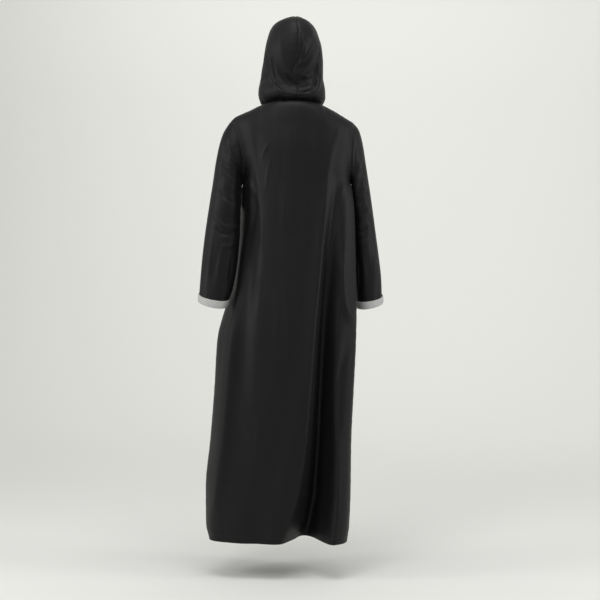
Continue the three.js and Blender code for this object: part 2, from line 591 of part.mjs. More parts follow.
// Gives each grid its normals, facing out. Pieces that meet at a seam share theirs there: halfway between
// the normals of the groups, such as a sleeve and the body, that the seam joins.
function addNormals(groups) {
  const keyOf = (point) => point.toArray().map((value) => Math.round(value / SAME_POINT) || 0).join(" ");
  const add = (map, key, vector) => map.set(key, (map.get(key) ?? new THREE.Vector3()).add(vector));
  const shared = new Map();
  for (const group of groups) {
    const sums = new Map();
    for (const grid of group)
      for (const [r, c] of cellsOf(grid)) {
        const { rows } = grid;
        const next = (c + 1) % rows[r].length;
        const corners = [rows[r][c], rows[r][next], rows[r + 1][next], rows[r + 1][c]];
        const diagonal = corners[2].clone().sub(corners[0]);
        const facing = diagonal.cross(corners[3].clone().sub(corners[1])).multiplyScalar(grid.outward);
        for (const key of new Set(corners.map(keyOf))) add(sums, key, facing);
      }
    for (const [key, sum] of sums) add(shared, key, sum.normalize());
  }
  for (const grid of groups.flat())
    grid.normals = grid.rows.map((row) => row.map((point) => shared.get(keyOf(point)).clone().normalize()));
}

// Moves the edges of a grid back from their seams, by half the seam's gap. An edge is a list of
// [row, column], with the step [rows, columns] that leads from it into the piece.
function trimEdges(grid, edges) {
  const { rows, normals } = grid;
  const moves = new Map();
  for (const { line, closed, inward } of edges)
    line.forEach(([r, c], i) => {
      const before = line[closed ? (i + line.length - 1) % line.length : Math.max(i - 1, 0)];
      const after = line[closed ? (i + 1) % line.length : Math.min(i + 1, line.length - 1)];
      const along = rows[after[0]][after[1]].clone().sub(rows[before[0]][before[1]]);
      const away = along.cross(normals[r][c]).normalize();
      const [fromRow, fromColumn] = grid.pole && r === rows.length - 1 ? [r - 1, c] : [r, c];
      const inside = rows[fromRow + inward[0]][fromColumn + inward[1]].clone().sub(rows[fromRow][fromColumn]);
      const sign = Math.sign(away.dot(inside)) || 1;
      const point = rows[r][c];
      const move = moves.get(point) ?? new THREE.Vector3();
      moves.set(point, move.addScaledVector(away, (sign * SEAM_GAP) / 2));
    });
  const moved = (point) => point.clone().add(moves.get(point) ?? new THREE.Vector3());
  grid.rows = rows.map((row) => row.map(moved));
}

// The places of a row or a column of a grid, between two others
const alongRow = (row, from, to) => Array.from({ length: to - from + 1 }, (_, i) => [row, from + i]);
const alongColumn = (column, from, to) => Array.from({ length: to - from + 1 }, (_, i) => [from + i, column]);

function trimPanel(panel) {
  const top = panel.rows.length - 1;
  const last = panel.rows[0].length - 1;
  const sides = [
    { column: 0, inward: [0, 1] },
    { column: last, inward: [0, -1] },
  ].flatMap(({ column, inward }) => [
    { line: alongColumn(column, 0, BODY_ROWS), inward },
    { line: alongColumn(column, BODY_ROWS, top), inward },
  ]);
  const corners = [0, SHOULDER_COLUMNS, last - SHOULDER_COLUMNS, last];
  const tops = corners.slice(1).map((to, i) => ({ line: alongRow(top, corners[i], to), inward: [-1, 0] }));
  trimEdges(panel, [...sides, ...tops]);
}

function trimSleeve(sleeve) {
  trimEdges(sleeve, [{ line: alongRow(0, 0, sleeve.rows[0].length - 1), closed: true, inward: [1, 0] }]);
}

function trimHoodHalf(half) {
  trimEdges(half, [
    { line: alongRow(0, 0, half.rows[0].length - 1), inward: [1, 0] },
    { line: alongColumn(0, 0, half.rows.length - 1), inward: [0, 1] },
  ]);
}

// A closed wall on a grid of outer points: the outer face, the inner face and the rims between them
function wallGeometry({ rows, normals, closed, pole, outward }, thickness) {
  const points = [];
  const indices = [];
  const width = rows[0].length;
  const layer = rows.length * width;
  const vertex = (side, r, c) => side * layer + r * width + (pole && r === rows.length - 1 ? 0 : c % width);
  for (const side of [0, 1])
    rows.forEach((row, r) =>
      row.forEach((point, c) => points.push(point.clone().addScaledVector(normals[r][c], -side * thickness))),
    );
  const face = (...corners) => {
    if (new Set(corners).size < 3) return;
    indices.push(...(outward > 0 ? corners : corners.reverse()));
  };
  // Splits a four-sided face along the shorter diagonal of the corners that lead
  const quad = (corners, lead = corners) => {
    const [a, b, c, d] = corners;
    const [first, second, third, fourth] = lead.map((index) => points[index]);
    if (first.distanceTo(third) <= second.distanceTo(fourth)) {
      face(a, b, c);
      face(a, c, d);
    } else {
      face(a, b, d);
      face(b, c, d);
    }
  };
  for (const [r, c] of cellsOf({ rows, closed })) {
    const cell = (side) => [
      vertex(side, r, c),
      vertex(side, r, c + 1),
      vertex(side, r + 1, c + 1),
      vertex(side, r + 1, c),
    ];
    const outer = cell(0);
    quad(outer);
    quad(cell(1).reverse(), outer.toReversed());
  }
  const end = rows.length - 1;
  const columns = closed ? width : width - 1;
  for (let c = 0; c < columns; c += 1) {
    quad([vertex(0, 0, c + 1), vertex(0, 0, c), vertex(1, 0, c), vertex(1, 0, c + 1)]);
    if (!pole) quad([vertex(0, end, c), vertex(0, end, c + 1), vertex(1, end, c + 1), vertex(1, end, c)]);
  }
  const side = width - 1;
  for (let r = 0; !closed && r < end; r += 1) {
    quad([vertex(0, r, 0), vertex(0, r + 1, 0), vertex(1, r + 1, 0), vertex(1, r, 0)]);
    quad([vertex(0, r + 1, side), vertex(0, r, side), vertex(1, r, side), vertex(1, r + 1, side)]);
  }
  const positions = points.flatMap((point) => point.toArray());
  const geometry = new THREE.BufferGeometry();
  geometry.setAttribute("position", new THREE.Float32BufferAttribute(positions, 3));
  geometry.setIndex(indices);
  geometry.computeVertexNormals();
  return geometry;
}

// A cuff band, made from the sleeve's last rows, moved out
function bandGrid(sleeve) {
  const rows = sleeve.rows.slice(-1 - BAND_ROWS);
  const normals = sleeve.normals.slice(-1 - BAND_ROWS);
  const out = SEAM_GAP + BAND_WALL;
  return {
    ...sleeve,
    rows: rows.map((row, r) => row.map((point, c) => point.clone().addScaledVector(normals[r][c], out))),
    normals,
  };
}

// The pieces. outward is 1 where the rows and columns turn so that the outer face looks out.
const grids = {
  back: { ...panelGrid("back"), outward: 1 },
  front: { ...panelGrid("front"), outward: -1 },
  sleeve_left: { ...sleeveGrid(sleeves.left), outward: -1 },
  sleeve_right: { ...sleeveGrid(sleeves.right), outward: 1 },
  hood_left: { ...hoodGrid(1), outward: -1 },
  hood_right: { ...hoodGrid(-1), outward: 1 },
};
addNormals([
  [grids.back, grids.front],
  [grids.sleeve_left],
  [grids.sleeve_right],
  [grids.hood_left, grids.hood_right],
]);
for (const panel of [grids.back, grids.front]) trimPanel(panel);
for (const sleeve of [grids.sleeve_left, grids.sleeve_right]) trimSleeve(sleeve);
for (const half of [grids.hood_left, grids.hood_right]) trimHoodHalf(half);

const gandoura = new THREE.Group();

function addPiece(name, grid, thickness, looks) {
  const mesh = new THREE.Mesh(wallGeometry(grid, thickness), new THREE.MeshStandardMaterial(looks));
  mesh.name = name;
  gandoura.add(mesh);
}

for (const [name, grid] of Object.entries(grids)) addPiece(name, grid, WALL, BLACK_CLOTH);
addPiece("cuff_left", bandGrid(grids.sleeve_left), BAND_WALL, GREY_BAND);
addPiece("cuff_right", bandGrid(grids.sleeve_right), BAND_WALL, GREY_BAND);

export default gandoura;
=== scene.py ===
# Hooded gandoura: cloth, seams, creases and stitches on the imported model, with floor, light and camera.
# Tables are in millimetres, as in the part's source, and the meshes are in metres.
import math
from dataclasses import dataclass

import bpy
import numpy as np
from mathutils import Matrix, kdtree


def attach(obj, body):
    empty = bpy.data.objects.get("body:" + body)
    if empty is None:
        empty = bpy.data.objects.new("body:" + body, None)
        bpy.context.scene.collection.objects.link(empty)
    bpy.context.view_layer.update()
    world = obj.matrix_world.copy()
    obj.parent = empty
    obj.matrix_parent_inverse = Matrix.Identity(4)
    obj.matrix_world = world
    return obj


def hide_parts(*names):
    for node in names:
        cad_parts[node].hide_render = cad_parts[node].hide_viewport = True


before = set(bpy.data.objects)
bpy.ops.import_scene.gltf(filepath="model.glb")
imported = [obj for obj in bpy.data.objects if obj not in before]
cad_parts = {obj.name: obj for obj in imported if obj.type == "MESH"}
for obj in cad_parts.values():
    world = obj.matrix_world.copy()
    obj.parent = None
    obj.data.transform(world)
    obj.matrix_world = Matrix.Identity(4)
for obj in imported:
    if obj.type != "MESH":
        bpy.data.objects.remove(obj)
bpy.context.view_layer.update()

MM = 0.001

# Cloth
WALL = 1.2  # the cloth's shown thickness
BAND_WALL = 3.0
BAND_WIDTH = 24.0
SEAM_GAP = 0.3
TURN_IN = 5.0  # how far the cloth turns in at a seam
TURN_TILT = 2.2  # and how far it leans sideways there
GROOVE_DEPTH = 1.3
GROOVE_WIDTH = 4.0

# Levels and the neck, as in the part's source
HEM_Z = -1405
UNDERARM_Z = -250
EDGE_PULL = 1.5
SHOULDER_ROUND = 90
SHOULDER_RISE = {"left": 7, "right": 1}
NECK_HALF_WIDTH = 97
NECK_SIDE_Z = 2
NECK_BACK_Y = 70
NECK_BACK_Z = 8
NECK_FRONT_Y = -112
NECK_FRONT_Z = -125
NECK_SEAM_X = -14
FACE_EDGE_X = 3
V_NECK_CURVE = 1.15
FOLD_END_Z = -195
SEAM_PULL = 12  # just below the armpits the side seams pull only the cloth near them, by this power
SEAM_PULL_REACH = 180  # and this far below them they pull the whole side
FOLD_FREE_SHARE = 0.93
CUFF_RING = 9


def table(names, *rows):
    """A table with named columns."""
    data = np.array(rows, float)
    return {name: data[:, i] for i, name in enumerate(names.split())}


BODY = table(
    "z left right back_left back_right front seam_left seam_right",
    (HEM_Z, 268, 177, 122, 160, -165, 14, 40),
    (-1355, 279, 184, 128, 158, -165, -8, 40),
    (-1240, 280, 189, 134, 153, -164, -24, 40),
    (-1090, 267, 191, 135, 146, -162, -28, 40),
    (-920, 254, 199, 134, 139, -158, -30, 42),
    (-760, 244, 207, 132, 134, -154, -34, 42),
    (-660, 220, 209, 128, 129, -152, -45, 42),
    (-580, 198, 208, 124, 124, -151, -58, 42),
    (-450, 181, 205, 119, 119, -150, -62, 41),
    (-360, 173, 203, 116, 116, -146, -52, 32),
    (-290, 168, 197, 113, 113, -143, -36, 14),
    (-268, 165, 194, 112.4, 112.4, -141.2, -21, 4),
    (UNDERARM_Z, 160, 190, 112, 112, -140, 0, -8),
    (-150, 160, 190, 112, 112, -132, 0, -8),
    (-60, 160, 190, 104, 104, -122, 0, -8),
    (NECK_BACK_Z, 160, 190, 92, 92, -104, 0, -8),
)

SQUARENESS = table(
    "z back_left back_right front_left front_right",
    (HEM_Z, 2.5, 3.2, 2.3, 2.3),
    (-920, 2.3, 2.7, 2.2, 2.1),
    (-640, 2.2, 2.4, 2.2, 1.7),
    (UNDERARM_Z, 2.1, 2.3, 2.2, 1.5),
    (NECK_BACK_Z, 2.1, 2.3, 2.2, 1.8),
)

DEEP_FOLD = table(
    "z x depth left right",
    (HEM_Z, -43, 165, 85, 95),
    (-1340, -58, 148, 72, 88),
    (-1250, -72, 127, 60, 80),
    (-1100, -82, 98, 46, 70),
    (-900, -90, 66, 38, 62),
    (-700, -100, 40, 32, 56),
    (-550, -112, 25, 28, 52),
    (-450, -120, 17, 27, 48),
    (-360, -131, 11, 27, 44),
    (UNDERARM_Z, -140, 5, 28, 40),
    (FOLD_END_Z, -140, 5, 28, 40),
)

SLEEVE_LEFT = table(
    "ring outer_x outer_z inner_x inner_z mid_y half_depth drop bow",
    (0, 200, -50, 160, UNDERARM_Z, 0, 58, 0, 16),
    (1, 222, -86, 162.2, -259, 6, 60, 0, 9),
    (2, 235, -128, 163.4, -272, 14, 61, 0, 4),
    (3, 247, -190, 163.6, -294, 20, 61, 0, 0),
    (4, 256, -255, 163.6, -324, 25, 60, 2, 0),
    (5, 267, -325, 165, -364, 29, 58, 4, 0),
    (6, 279, -410, 167, -418, 31, 55, 6, 0),
    (7, 288, -490, 173, -492, 36, 51, 8, 0),
    (8, 295, -570, 188, -584, 41, 48, 12, 0),
    (9, 300, -633, 211, -652, 45, 45, 14, 0),
)

SLEEVE_RIGHT = table(
    "ring outer_x outer_z inner_x inner_z mid_y half_depth drop bow",
    (0, -205, -58, -190, UNDERARM_Z, -8, 56, 0, 5),
    (1, -221, -90, -192.8, -259, -15, 57, 0, 3),
    (2, -232, -128, -192.4, -274, -22, 57, 0, 1),
    (3, -242, -188, -191.5, -299, -28, 56, 0, 0),
    (4, -252, -255, -191, -327, -32, 54, 2, 0),
    (5, -262, -325, -195, -364, -35, 53, 4, 0),
    (6, -274, -410, -196, -416, -39, 52, 6, 0),
    (7, -286, -490, -199, -490, -42, 50, 8, 0),
    (8, -295, -570, -205, -580, -45, 48, 12, 0),
    (9, -297, -638, -214, -655, -46, 45, 14, 0),
)

LEFT_CREASES = table(
    "ring angle out rings spread",
    (2.2, 62, -5, 0.5, 26),
    (3.1, 84, -5, 0.45, 30),
    (5.4, 118, -5, 0.5, 32),
    (5.1, 285, -6, 0.5, 40),
    (7.6, 70, -3, 0.4, 30),
)

RIGHT_CREASES = table(
    "ring angle out rings spread",
    (2.8, 66, -5, 0.5, 28),
    (4.2, 96, -6, 0.45, 30),
    (5.3, 270, -7, 0.5, 42),
    (6.6, 50, -4, 0.5, 30),
)

HOOD = table(
    "row seam_x seam_y seam_z left right side_y side_z edge edge_x edge_y edge_z",
    (0, NECK_SEAM_X, NECK_BACK_Y, NECK_BACK_Z, NECK_HALF_WIDTH, NECK_HALF_WIDTH, 0, NECK_SIDE_Z,
        FACE_EDGE_X, 0, NECK_FRONT_Y, NECK_FRONT_Z),
    (1, -14, 87, 17, 104, 103, 0, 12, 15, 0, -117, -104),
    (2, -15, 99, 26, 109, 107, 0, 26, 28, 0, -119, -82),
    (3, -16, 103, 37, 111, 107, 0, 40, 42, 0, -119, -58),
    (4, -17, 99, 49, 110, 106, 0, 55, 54, 0, -118, -34),
    (5, -18, 93, 62, 107, 103, 0, 71, 63, 0, -116, -10),
    (6, -19, 90, 80, 103, 100, 0, 90, 70, 0, -114, 16),
    (7, -20, 93, 104, 100, 100, 0, 114, 76, 0, -112, 46),
    (8, -20, 101, 134, 95, 100, 0, 140, 80, -1, -110, 80),
    (9, -20, 107, 166, 91, 98, 0, 168, 82, -2, -109, 116),
    (10, -19, 108, 196, 86, 94, -2, 196, 81, -3, -108, 150),
    (11, -18, 103, 224, 80, 87, -6, 220, 76, -4, -108, 180),
    (12, -16, 92, 250, 73, 80, -12, 242, 70, -5, -108, 205),
    (13, -14, 74, 270, 64, 71, -22, 259, 61, -6, -109, 225),
    (14, -12, 48, 281, 51, 60, -36, 271, 48, -7, -110, 241),
    (15, -11, 16, 289, 37, 49, -54, 278, 33, -8, -111, 252),
    (16, -10, -20, 290, 22, 36, -72, 280, 21, -8, -112, 260),
    (17, -9, -62, 283, 7, 23, -92, 276, 10, -8, -112, 265),
)


def fold(*rows):
    """A soft fold down a panel: for each height z its place x, how far it stands out, and its width."""
    return table("z x out width", *rows)


BACK_FOLDS = [
    fold(
        (HEM_Z, 258, 0, 30), (-1245, 240, 6, 26), (-1039, 214, 9, 24), (-804, 196, 9, 22),
        (-522, 160, 5, 20), (-390, 150, 0, 18),
    ),
    fold(
        (-1300, 165, 0, 40), (-1000, 158, -8, 36), (-700, 150, -9, 30), (-525, 132, -7, 24),
        (-317, 118, -5, 22), (UNDERARM_Z, 120, 0, 20), (FOLD_END_Z, 120, 0, 20),
    ),
    fold(
        (HEM_Z, 60, 8, 40), (-1250, 20, 8, 36), (-900, -40, 7, 30), (-600, -74, 5, 26), (-367, -98, 3, 24),
        (UNDERARM_Z, -110, 0, 24), (FOLD_END_Z, -110, 0, 24),
    ),
    fold((-1120, -148, 0, 18), (-950, -150, -7, 18), (-800, -176, -5, 18), (-720, -186, 0, 18)),
    fold((-720, -192, 0, 18), (-640, -172, 7, 18), (-540, -163, 6, 18), (-430, -168, 0, 18)),
]

FRONT_FOLDS = [
    fold(
        (HEM_Z, 26, -48, 42), (-1200, 22, -30, 38), (-950, 14, -16, 34), (-700, 6, -6, 30),
        (-500, 0, 0, 28),
    ),
    fold((HEM_Z, 140, -22, 34), (-1100, 128, -14, 30), (-750, 112, -8, 26), (-480, 96, 0, 24)),
    fold((HEM_Z, -104, -18, 30), (-1050, -98, -12, 28), (-620, -92, -6, 24), (-380, -84, 0, 22)),
]

FOREHEAD = np.array([-8.0, -112.0, 268.0])
TUCK = {"x": -12, "z": 190, "left": 72, "right": 78, "bottom": 132, "depth": 24, "width": 18, "sharpness": 2}

# How finely each piece is divided
FINE = 6  # steps for each column of the part's own grid
LOW_STEP = 8.4  # between rows from the hem to the underarm
HEM_LEVELS = (0, 1.5, 4, 8, 13, 17, 19.5, 21, 22.5, 25, 29, 34, 40, 47)  # rows above the hem
UPPER_ROWS = 56
SHOULDER_COLUMNS = 6 * FINE
NECK_COLUMNS = {"back_left": 13 * FINE, "back_right": 12 * FINE, "front": 8 * FINE}
FOLD_COLUMNS = (13 * FINE, 8 * FINE, 8 * FINE, 8 * FINE)
FOLD_MARGIN = {"left": 12, "right": 8}
FOLD_COLUMNS_REACH = 420  # how far below the armpits they follow the fold
SLEEVE_ROWS = 170
SLEEVE_COLUMNS = 2 * UPPER_ROWS
BAND_ROWS = 14
HOOD_ROWS = 110
HOOD_POLE_ROWS = 6
HOOD_POLE_GAP = 0.15  # the small hole left at the forehead, as a share of such a row

# Relief of the cloth
CREASE_STEPS = 8  # lines for each stretch of a crease
CREASE_REACH = 3.2  # how many widths away a crease is still felt
CREASE_FACING = (0.05, 0.45)  # it starts where the cloth faces its side this much, and is full at the other
DRAPE_WAVES = ((70, 120, 0.35), (120, 240, 0.7))  # shortest, longest and size of each set of waves
WAVES_EACH = 4
DRAPE_TURN = 0.9  # how far their heading turns, in radians, either way
DRAPE_LEAN = 0.12  # and how far they lean
DRAPE_LENGTH = (500, 1300)  # the length over which they come and go
DRAPE_UNEVEN = 0.5  # by this share
HOOD_DRAPE = 0.6  # the size of the waves on the hood, as a share
PUCKER_LENGTHS = (19, 31, 47)
PUCKER_REACH = 9
PUCKER_HEIGHT = 0.22
PUCKER_SEED_STEP = 11
SEEDS = {
    "back": 3, "front": 5, "sleeve_left": 7, "sleeve_right": 8, "hood_left": 24, "hood_right": 22, "cuff": 17,
}
TINY = 1e-9
SEAM_FADE = 26  # the relief of the cloth fades out over this distance from a seam
ARMPIT_CONTACT = 60  # length below the armpit where the sleeve and the body touch
ARMPIT_CALM = (14, 40)  # no relief this close to that line, and full relief this far from it
SEAM_SAMPLE = 1.2  # between the places of a seam that distances are measured from
SAME_POINT = 0.01  # points of two pieces this close together are one point of their seam

# Threads
STITCH_PITCH = 3.6
STITCH_LENGTH = 2.5
THREAD_RADIUS = 0.32
THREAD_SIDES = 5
THREAD_RINGS = ((0, 0.15, 0.2), (0.18, 1, 0.6), (0.82, 1, 0.6), (1, 0.15, 0.2))  # place, size and rise

# Cuff bands
BAND_WAVES = (2, 3, 5)
BAND_RIPPLE = 0.35
BAND_RIPPLE_FADE = 0.4
BAND_PUFF = 0.9
BAND_SOFTNESS = 4
BAND_STITCH_ROW = 2

# Rows of stitches
HEM_STITCH_LEVEL = 21
FACE_STITCH_COLUMN = -5
NECK_STITCH_ROW = 3

# Materials
SHADERS = {
    "black_cloth": {
        "Base Color": (0.0034, 0.0033, 0.0037, 1),
        "Roughness": 0.52,
        "Specular IOR Level": 0.2,
        "Sheen Weight": 0.03,
        "Sheen Roughness": 0.45,
        "Sheen Tint": (0.75, 0.73, 0.72, 1),
    },
    "grey_band": {"Roughness": 0.55, "Specular IOR Level": 0.4, "Sheen Weight": 0.15},
    "black_thread": {"Base Color": (0.012, 0.012, 0.013, 1), "Roughness": 0.5},
    "grey_thread": {"Base Color": (0.42, 0.42, 0.41, 1), "Roughness": 0.5},
    "room": {"Base Color": (0.74, 0.745, 0.715, 1), "Roughness": 0.9, "Specular IOR Level": 0.1},
}
WEAVES = {  # metres between threads, degrees they are turned, and how they stand out
    "black_cloth": {"pitch": 0.0007, "turn": 0, "bump": {"Distance": 0.00006, "Strength": 0.5}},
    "grey_band": {"pitch": 0.0011, "turn": 35, "bump": {"Distance": 0.0002, "Strength": 0.6}},
}
WEAVE_WAVE = {"Distortion": 0.4, "Detail": 1.0}
WAVE_LINES = 0.05  # a wave texture's scale for one line each metre
GREY_TINTS = ((0.36, 0.36, 0.355, 1), (0.56, 0.56, 0.55, 1))
CRINKLE = {"Scale": 26, "Detail": 4, "Roughness": 0.55}
CRINKLE_STRETCH = (1, 1, 0.22)
CRINKLE_BUMP = {"Distance": 0.0022, "Strength": 0.5}

# Camera, room and light, in metres
LENS = 77.3
SENSOR = 36.0
CAMERA_PLACE = (-0.026, 4.2, -0.632)
CAMERA_TURN = (90, 0, 180)
FLOOR_Z = -1.521
ROOM_FRONT = 7.0
ROOM_BACK = -6.2
ROOM_BEND = 2.6
ROOM_TOP = 4.5
ROOM_SIDE = 7.0
ROOM_BEND_STEPS = 24
WORLD_COLOR = (1.0, 1.0, 0.985, 1)
WORLD_STRENGTH = 0.5
LIGHTS = {
    "key": {"place": (1.6, 3.6, 1.9), "target": (0, 0, -0.6), "size": (1.6, 1.6), "power": 34},
    "left": {"place": (2.6, 0.7, 0.2), "target": (0, 0, -0.6), "size": (0.9, 2.2), "power": 26},
    "right": {"place": (-2.6, 0.7, 0.2), "target": (0, 0, -0.6), "size": (0.9, 2.2), "power": 26},
    "top": {"place": (0, 1.1, 2.4), "target": (0, -0.2, -0.8), "size": (2.0, 1.2), "power": 40},
    "wall": {"place": (-1.2, -3.4, 2.6), "target": (-1.6, -6.2, -0.8), "size": (7.0, 1.6), "power": 92},
}


def crease(*rows):
    """A listed crease: for each point x, z, how far it stands out, and its widths on both sides."""
    return table("x z out left right", *rows)


def short_creases(*rows):
    """Creases of three points, which fade out at both ends."""
    names = "from_x from_z x z to_x to_z out from_left from_right left right to_left to_right"
    columns = table(names, *rows)
    return [
        crease(
            (c["from_x"], c["from_z"], 0, c["from_left"], c["from_right"]),
            (c["x"], c["z"], c["out"], c["left"], c["right"]),
            (c["to_x"], c["to_z"], 0, c["to_left"], c["to_right"]),
        )
        for c in ({name: values[i] for name, values in columns.items()} for i in range(len(rows)))
    ]


BACK_CREASES = [
    # Crest of the deep fold
    crease(
        (-7, -1404, 2.6, 15, 9), (-26, -1325, 3.9, 16, 8), (-49, -1136, 4.7, 17, 7),
        (-57, -1010, 4.7, 17, 7), (-64, -897, 4.7, 17, 7), (-70, -783, 4.7, 17, 7), (-83, -645, 4.2, 17, 7),
        (-91, -544, 3.6, 16, 7), (-104, -367, 2.3, 15, 7), (-114, -216, 0, 14, 7),
    ),
    # Valley of the deep fold
    crease(
        (-66, -1250, 0, 7, 16), (-84, -1100, -2.6, 7, 16), (-92, -900, -3.9, 7, 16),
        (-101, -700, -4.7, 7, 16), (-112, -550, -4.4, 7, 16), (-121, -450, -3.9, 7, 15),
        (-131, -337, -3.1, 7, 14), (-146, -230, 0, 7, 14),
    ),
    # Fold down the left side
    crease(
        (255, -1327, 0, 9, 16), (240, -1245, 2.6, 9, 16), (226, -1127, 3.4, 9, 16),
        (214, -1039, 3.6, 9, 16), (206, -922, 3.6, 9, 16), (196, -804, 3.4, 9, 16), (184, -686, 2.9, 9, 15),
        (169, -522, 2.3, 8, 14), (154, -390, 0, 8, 14),
    ),
    # Soft valley beside it
    crease(
        (152, -560, 0, 10, 12), (135, -429, -3.4, 10, 12), (120, -317, -3.4, 10, 12),
        (125, -202, 0, 10, 12),
    ),
    # Fold at the right side that hooks to the edge
    crease(
        (-192, -695, 1.3, 9, 9), (-176, -668, 4.2, 9, 9), (-166, -610, 4.4, 9, 8), (-163, -550, 3.4, 9, 8),
        (-168, -480, 0, 9, 8),
    ),
    # Creases where the hem sways
    crease((150, -1404, 3.1, 26, 26), (140, -1290, 2.1, 22, 22), (128, -1120, 0, 18, 18)),
    crease((60, -1404, 1.8, 22, 22), (64, -1300, 1.3, 20, 20), (66, -1180, 0, 16, 16)),
    crease((-120, -1404, 2.6, 14, 14), (-126, -1280, 2.1, 14, 14), (-134, -1130, 0, 12, 12)),
]
BACK_CREASES += short_creases(
    # Slanting creases round the fold at the right side
    (-184, -780, -154, -857, -137, -930, -4.2, 8, 10, 8, 10, 8, 10),
    (-150, -930, -148, -1000, -144, -1080, -3.1, 9, 9, 9, 9, 9, 9),
    (-186, -428, -170, -438, -156, -452, 2.1, 5, 5, 5, 5, 5, 5),
    (-188, -450, -172, -458, -160, -474, 1.8, 5, 5, 5, 5, 5, 5),
    # Faint creases on the lower back
    (72, -1212, 40, -1216, 10, -1214, 1.7, 7, 7, 7, 7, 7, 7),
    (184, -900, 160, -950, 134, -1010, 2.3, 8, 8, 8, 8, 8, 8),
    (176, -960, 158, -1000, 142, -1060, 1.8, 8, 8, 8, 8, 8, 8),
    (104, -800, 86, -838, 66, -875, 2, 7, 7, 7, 7, 7, 7),
    # Fine creases over the middle of the back
    (52, -800, 48, -690, 50, -590, 1.8, 6, 6, 5, 6, 5, 5),
    (14, -860, 12, -720, 20, -560, 1.9, 7, 7, 5, 7, 6, 6),
    (-22, -760, -24, -650, -16, -540, 1.7, 6, 6, 5, 6, 6, 6),
    (84, -300, 78, -236, 64, -160, 1.8, 6, 6, 5, 7, 5, 5),
    (100, -190, 84, -150, 70, -128, 1.9, 5, 5, 4, 6, 5, 5),
    (52, -262, 60, -200, 76, -150, -1.8, 6, 6, 5, 6, 5, 5),
    (22, -420, 28, -350, 26, -270, 1.8, 7, 7, 5, 8, 6, 6),
    (-8, -480, 2, -430, 20, -404, -2, 6, 6, 6, 6, 5, 5),
    (-52, -470, -40, -420, -14, -388, 2, 6, 6, 5, 7, 5, 5),
    (-70, -220, -72, -150, -62, -90, 1.7, 5, 5, 5, 5, 5, 5),
    (-96, -500, -84, -460, -80, -400, 1.7, 5, 5, 4, 6, 5, 5),
    (92, -520, 96, -440, 92, -350, 1.8, 7, 7, 5, 8, 6, 6),
    (110, -700, 104, -610, 104, -530, 1.8, 7, 7, 5, 8, 6, 6),
    (34, -1060, 26, -980, 30, -900, 1.7, 7, 7, 5, 8, 6, 6),
    (120, -1160, 112, -1070, 108, -990, 1.8, 7, 7, 5, 8, 6, 6),
    (-150, -1330, -146, -1240, -152, -1150, 1.8, 7, 7, 5, 7, 6, 6),
    # Long drapes that fall from the neck and the shoulders
    (66, -560, 62, -320, 48, -60, 2.1, 18, 18, 18, 18, 12, 12),
    (-40, -520, -44, -300, -36, -60, 2, 18, 18, 18, 18, 12, 12),
    (96, -420, 112, -240, 138, -60, 2.3, 12, 12, 12, 12, 10, 10),
    (-100, -360, -122, -180, -160, -66, 2.3, 12, 12, 12, 12, 9, 9),
    # Drag lines from the armholes
    (150, -236, 128, -276, 96, -340, 2.6, 8, 8, 8, 8, 8, 8),
    (-184, -236, -164, -270, -146, -330, 2.6, 8, 8, 8, 8, 8, 8),
)
FRONT_CREASES = [
    # Crests of the long folds down to the hem
    crease((50, -1404, 3.6, 14, 9), (44, -1150, 3.1, 13, 8), (30, -820, 0, 12, 8)),
    crease((-20, -1404, 2.9, 9, 14), (-12, -1160, 2.4, 8, 13), (-6, -900, 0, 8, 12)),
    crease((168, -1404, 3.1, 13, 9), (152, -1080, 2.6, 12, 8), (128, -700, 0, 10, 8)),
    crease((-132, -1404, 2.9, 9, 13), (-122, -1060, 2.4, 8, 12), (-108, -700, 0, 8, 10)),
]
FRONT_CREASES += short_creases(
    # Drapes that fall from the neck
    (74, -620, 66, -380, 34, -140, 2.4, 18, 18, 18, 18, 10, 10),
    (-68, -560, -60, -360, -30, -140, 2.4, 18, 18, 18, 18, 10, 10),
    (104, -420, 116, -240, 136, -70, 2.4, 12, 12, 12, 12, 10, 10),
    (-112, -420, -128, -240, -150, -70, 2.4, 12, 12, 12, 12, 10, 10),
    # Drag lines from the armholes
    (152, -240, 124, -284, 84, -360, 2.9, 8, 8, 8, 8, 8, 8),
    (-180, -240, -150, -282, -108, -356, 2.9, 8, 8, 8, 8, 8, 8),
    # Slanting creases at the hips
    (196, -720, 160, -770, 118, -850, 2.4, 8, 8, 8, 8, 8, 8),
    (-184, -700, -150, -756, -112, -840, 2.4, 8, 8, 8, 8, 8, 8),
    (26, -760, 18, -660, 24, -560, 1.7, 8, 8, 8, 8, 8, 8),
)
LEFT_BACK_CREASES = [
    # Loop of cloth at the elbow
    crease(
        (252, -344, 0, 6, 7), (238, -372, 4.9, 5, 8), (216, -396, 6.2, 5, 8), (190, -402, 4.6, 5, 7),
        (172, -392, 0, 5, 6),
    ),
]
LEFT_BACK_CREASES += short_creases(
    # Pull lines that run from the armhole down to the outer side
    (212, -96, 192, -140, 168, -184, -5.1, 6, 7, 5, 7, 5, 6),
    (222, -150, 198, -186, 170, -226, 4.6, 6, 7, 5, 8, 5, 6),
    (226, -190, 204, -222, 174, -250, -5.7, 6, 7, 5, 7, 5, 6),
    (232, -226, 212, -262, 186, -296, 5.4, 6, 6, 5, 8, 5, 6),
    (236, -268, 216, -300, 184, -326, -4.9, 6, 6, 5, 7, 5, 6),
    # Creases below the loop at the elbow
    (246, -392, 222, -420, 186, -424, -5.9, 6, 6, 6, 6, 5, 5),
    (182, -446, 202, -462, 228, -462, 4.1, 5, 6, 5, 8, 6, 6),
    # Long folds of the lower sleeve
    (244, -606, 232, -520, 220, -448, 3.8, 8, 12, 7, 12, 7, 9),
    (270, -600, 262, -500, 256, -410, 3.2, 8, 8, 8, 8, 7, 7),
    (204, -600, 196, -540, 192, -480, -3.8, 7, 7, 6, 7, 6, 6),
)
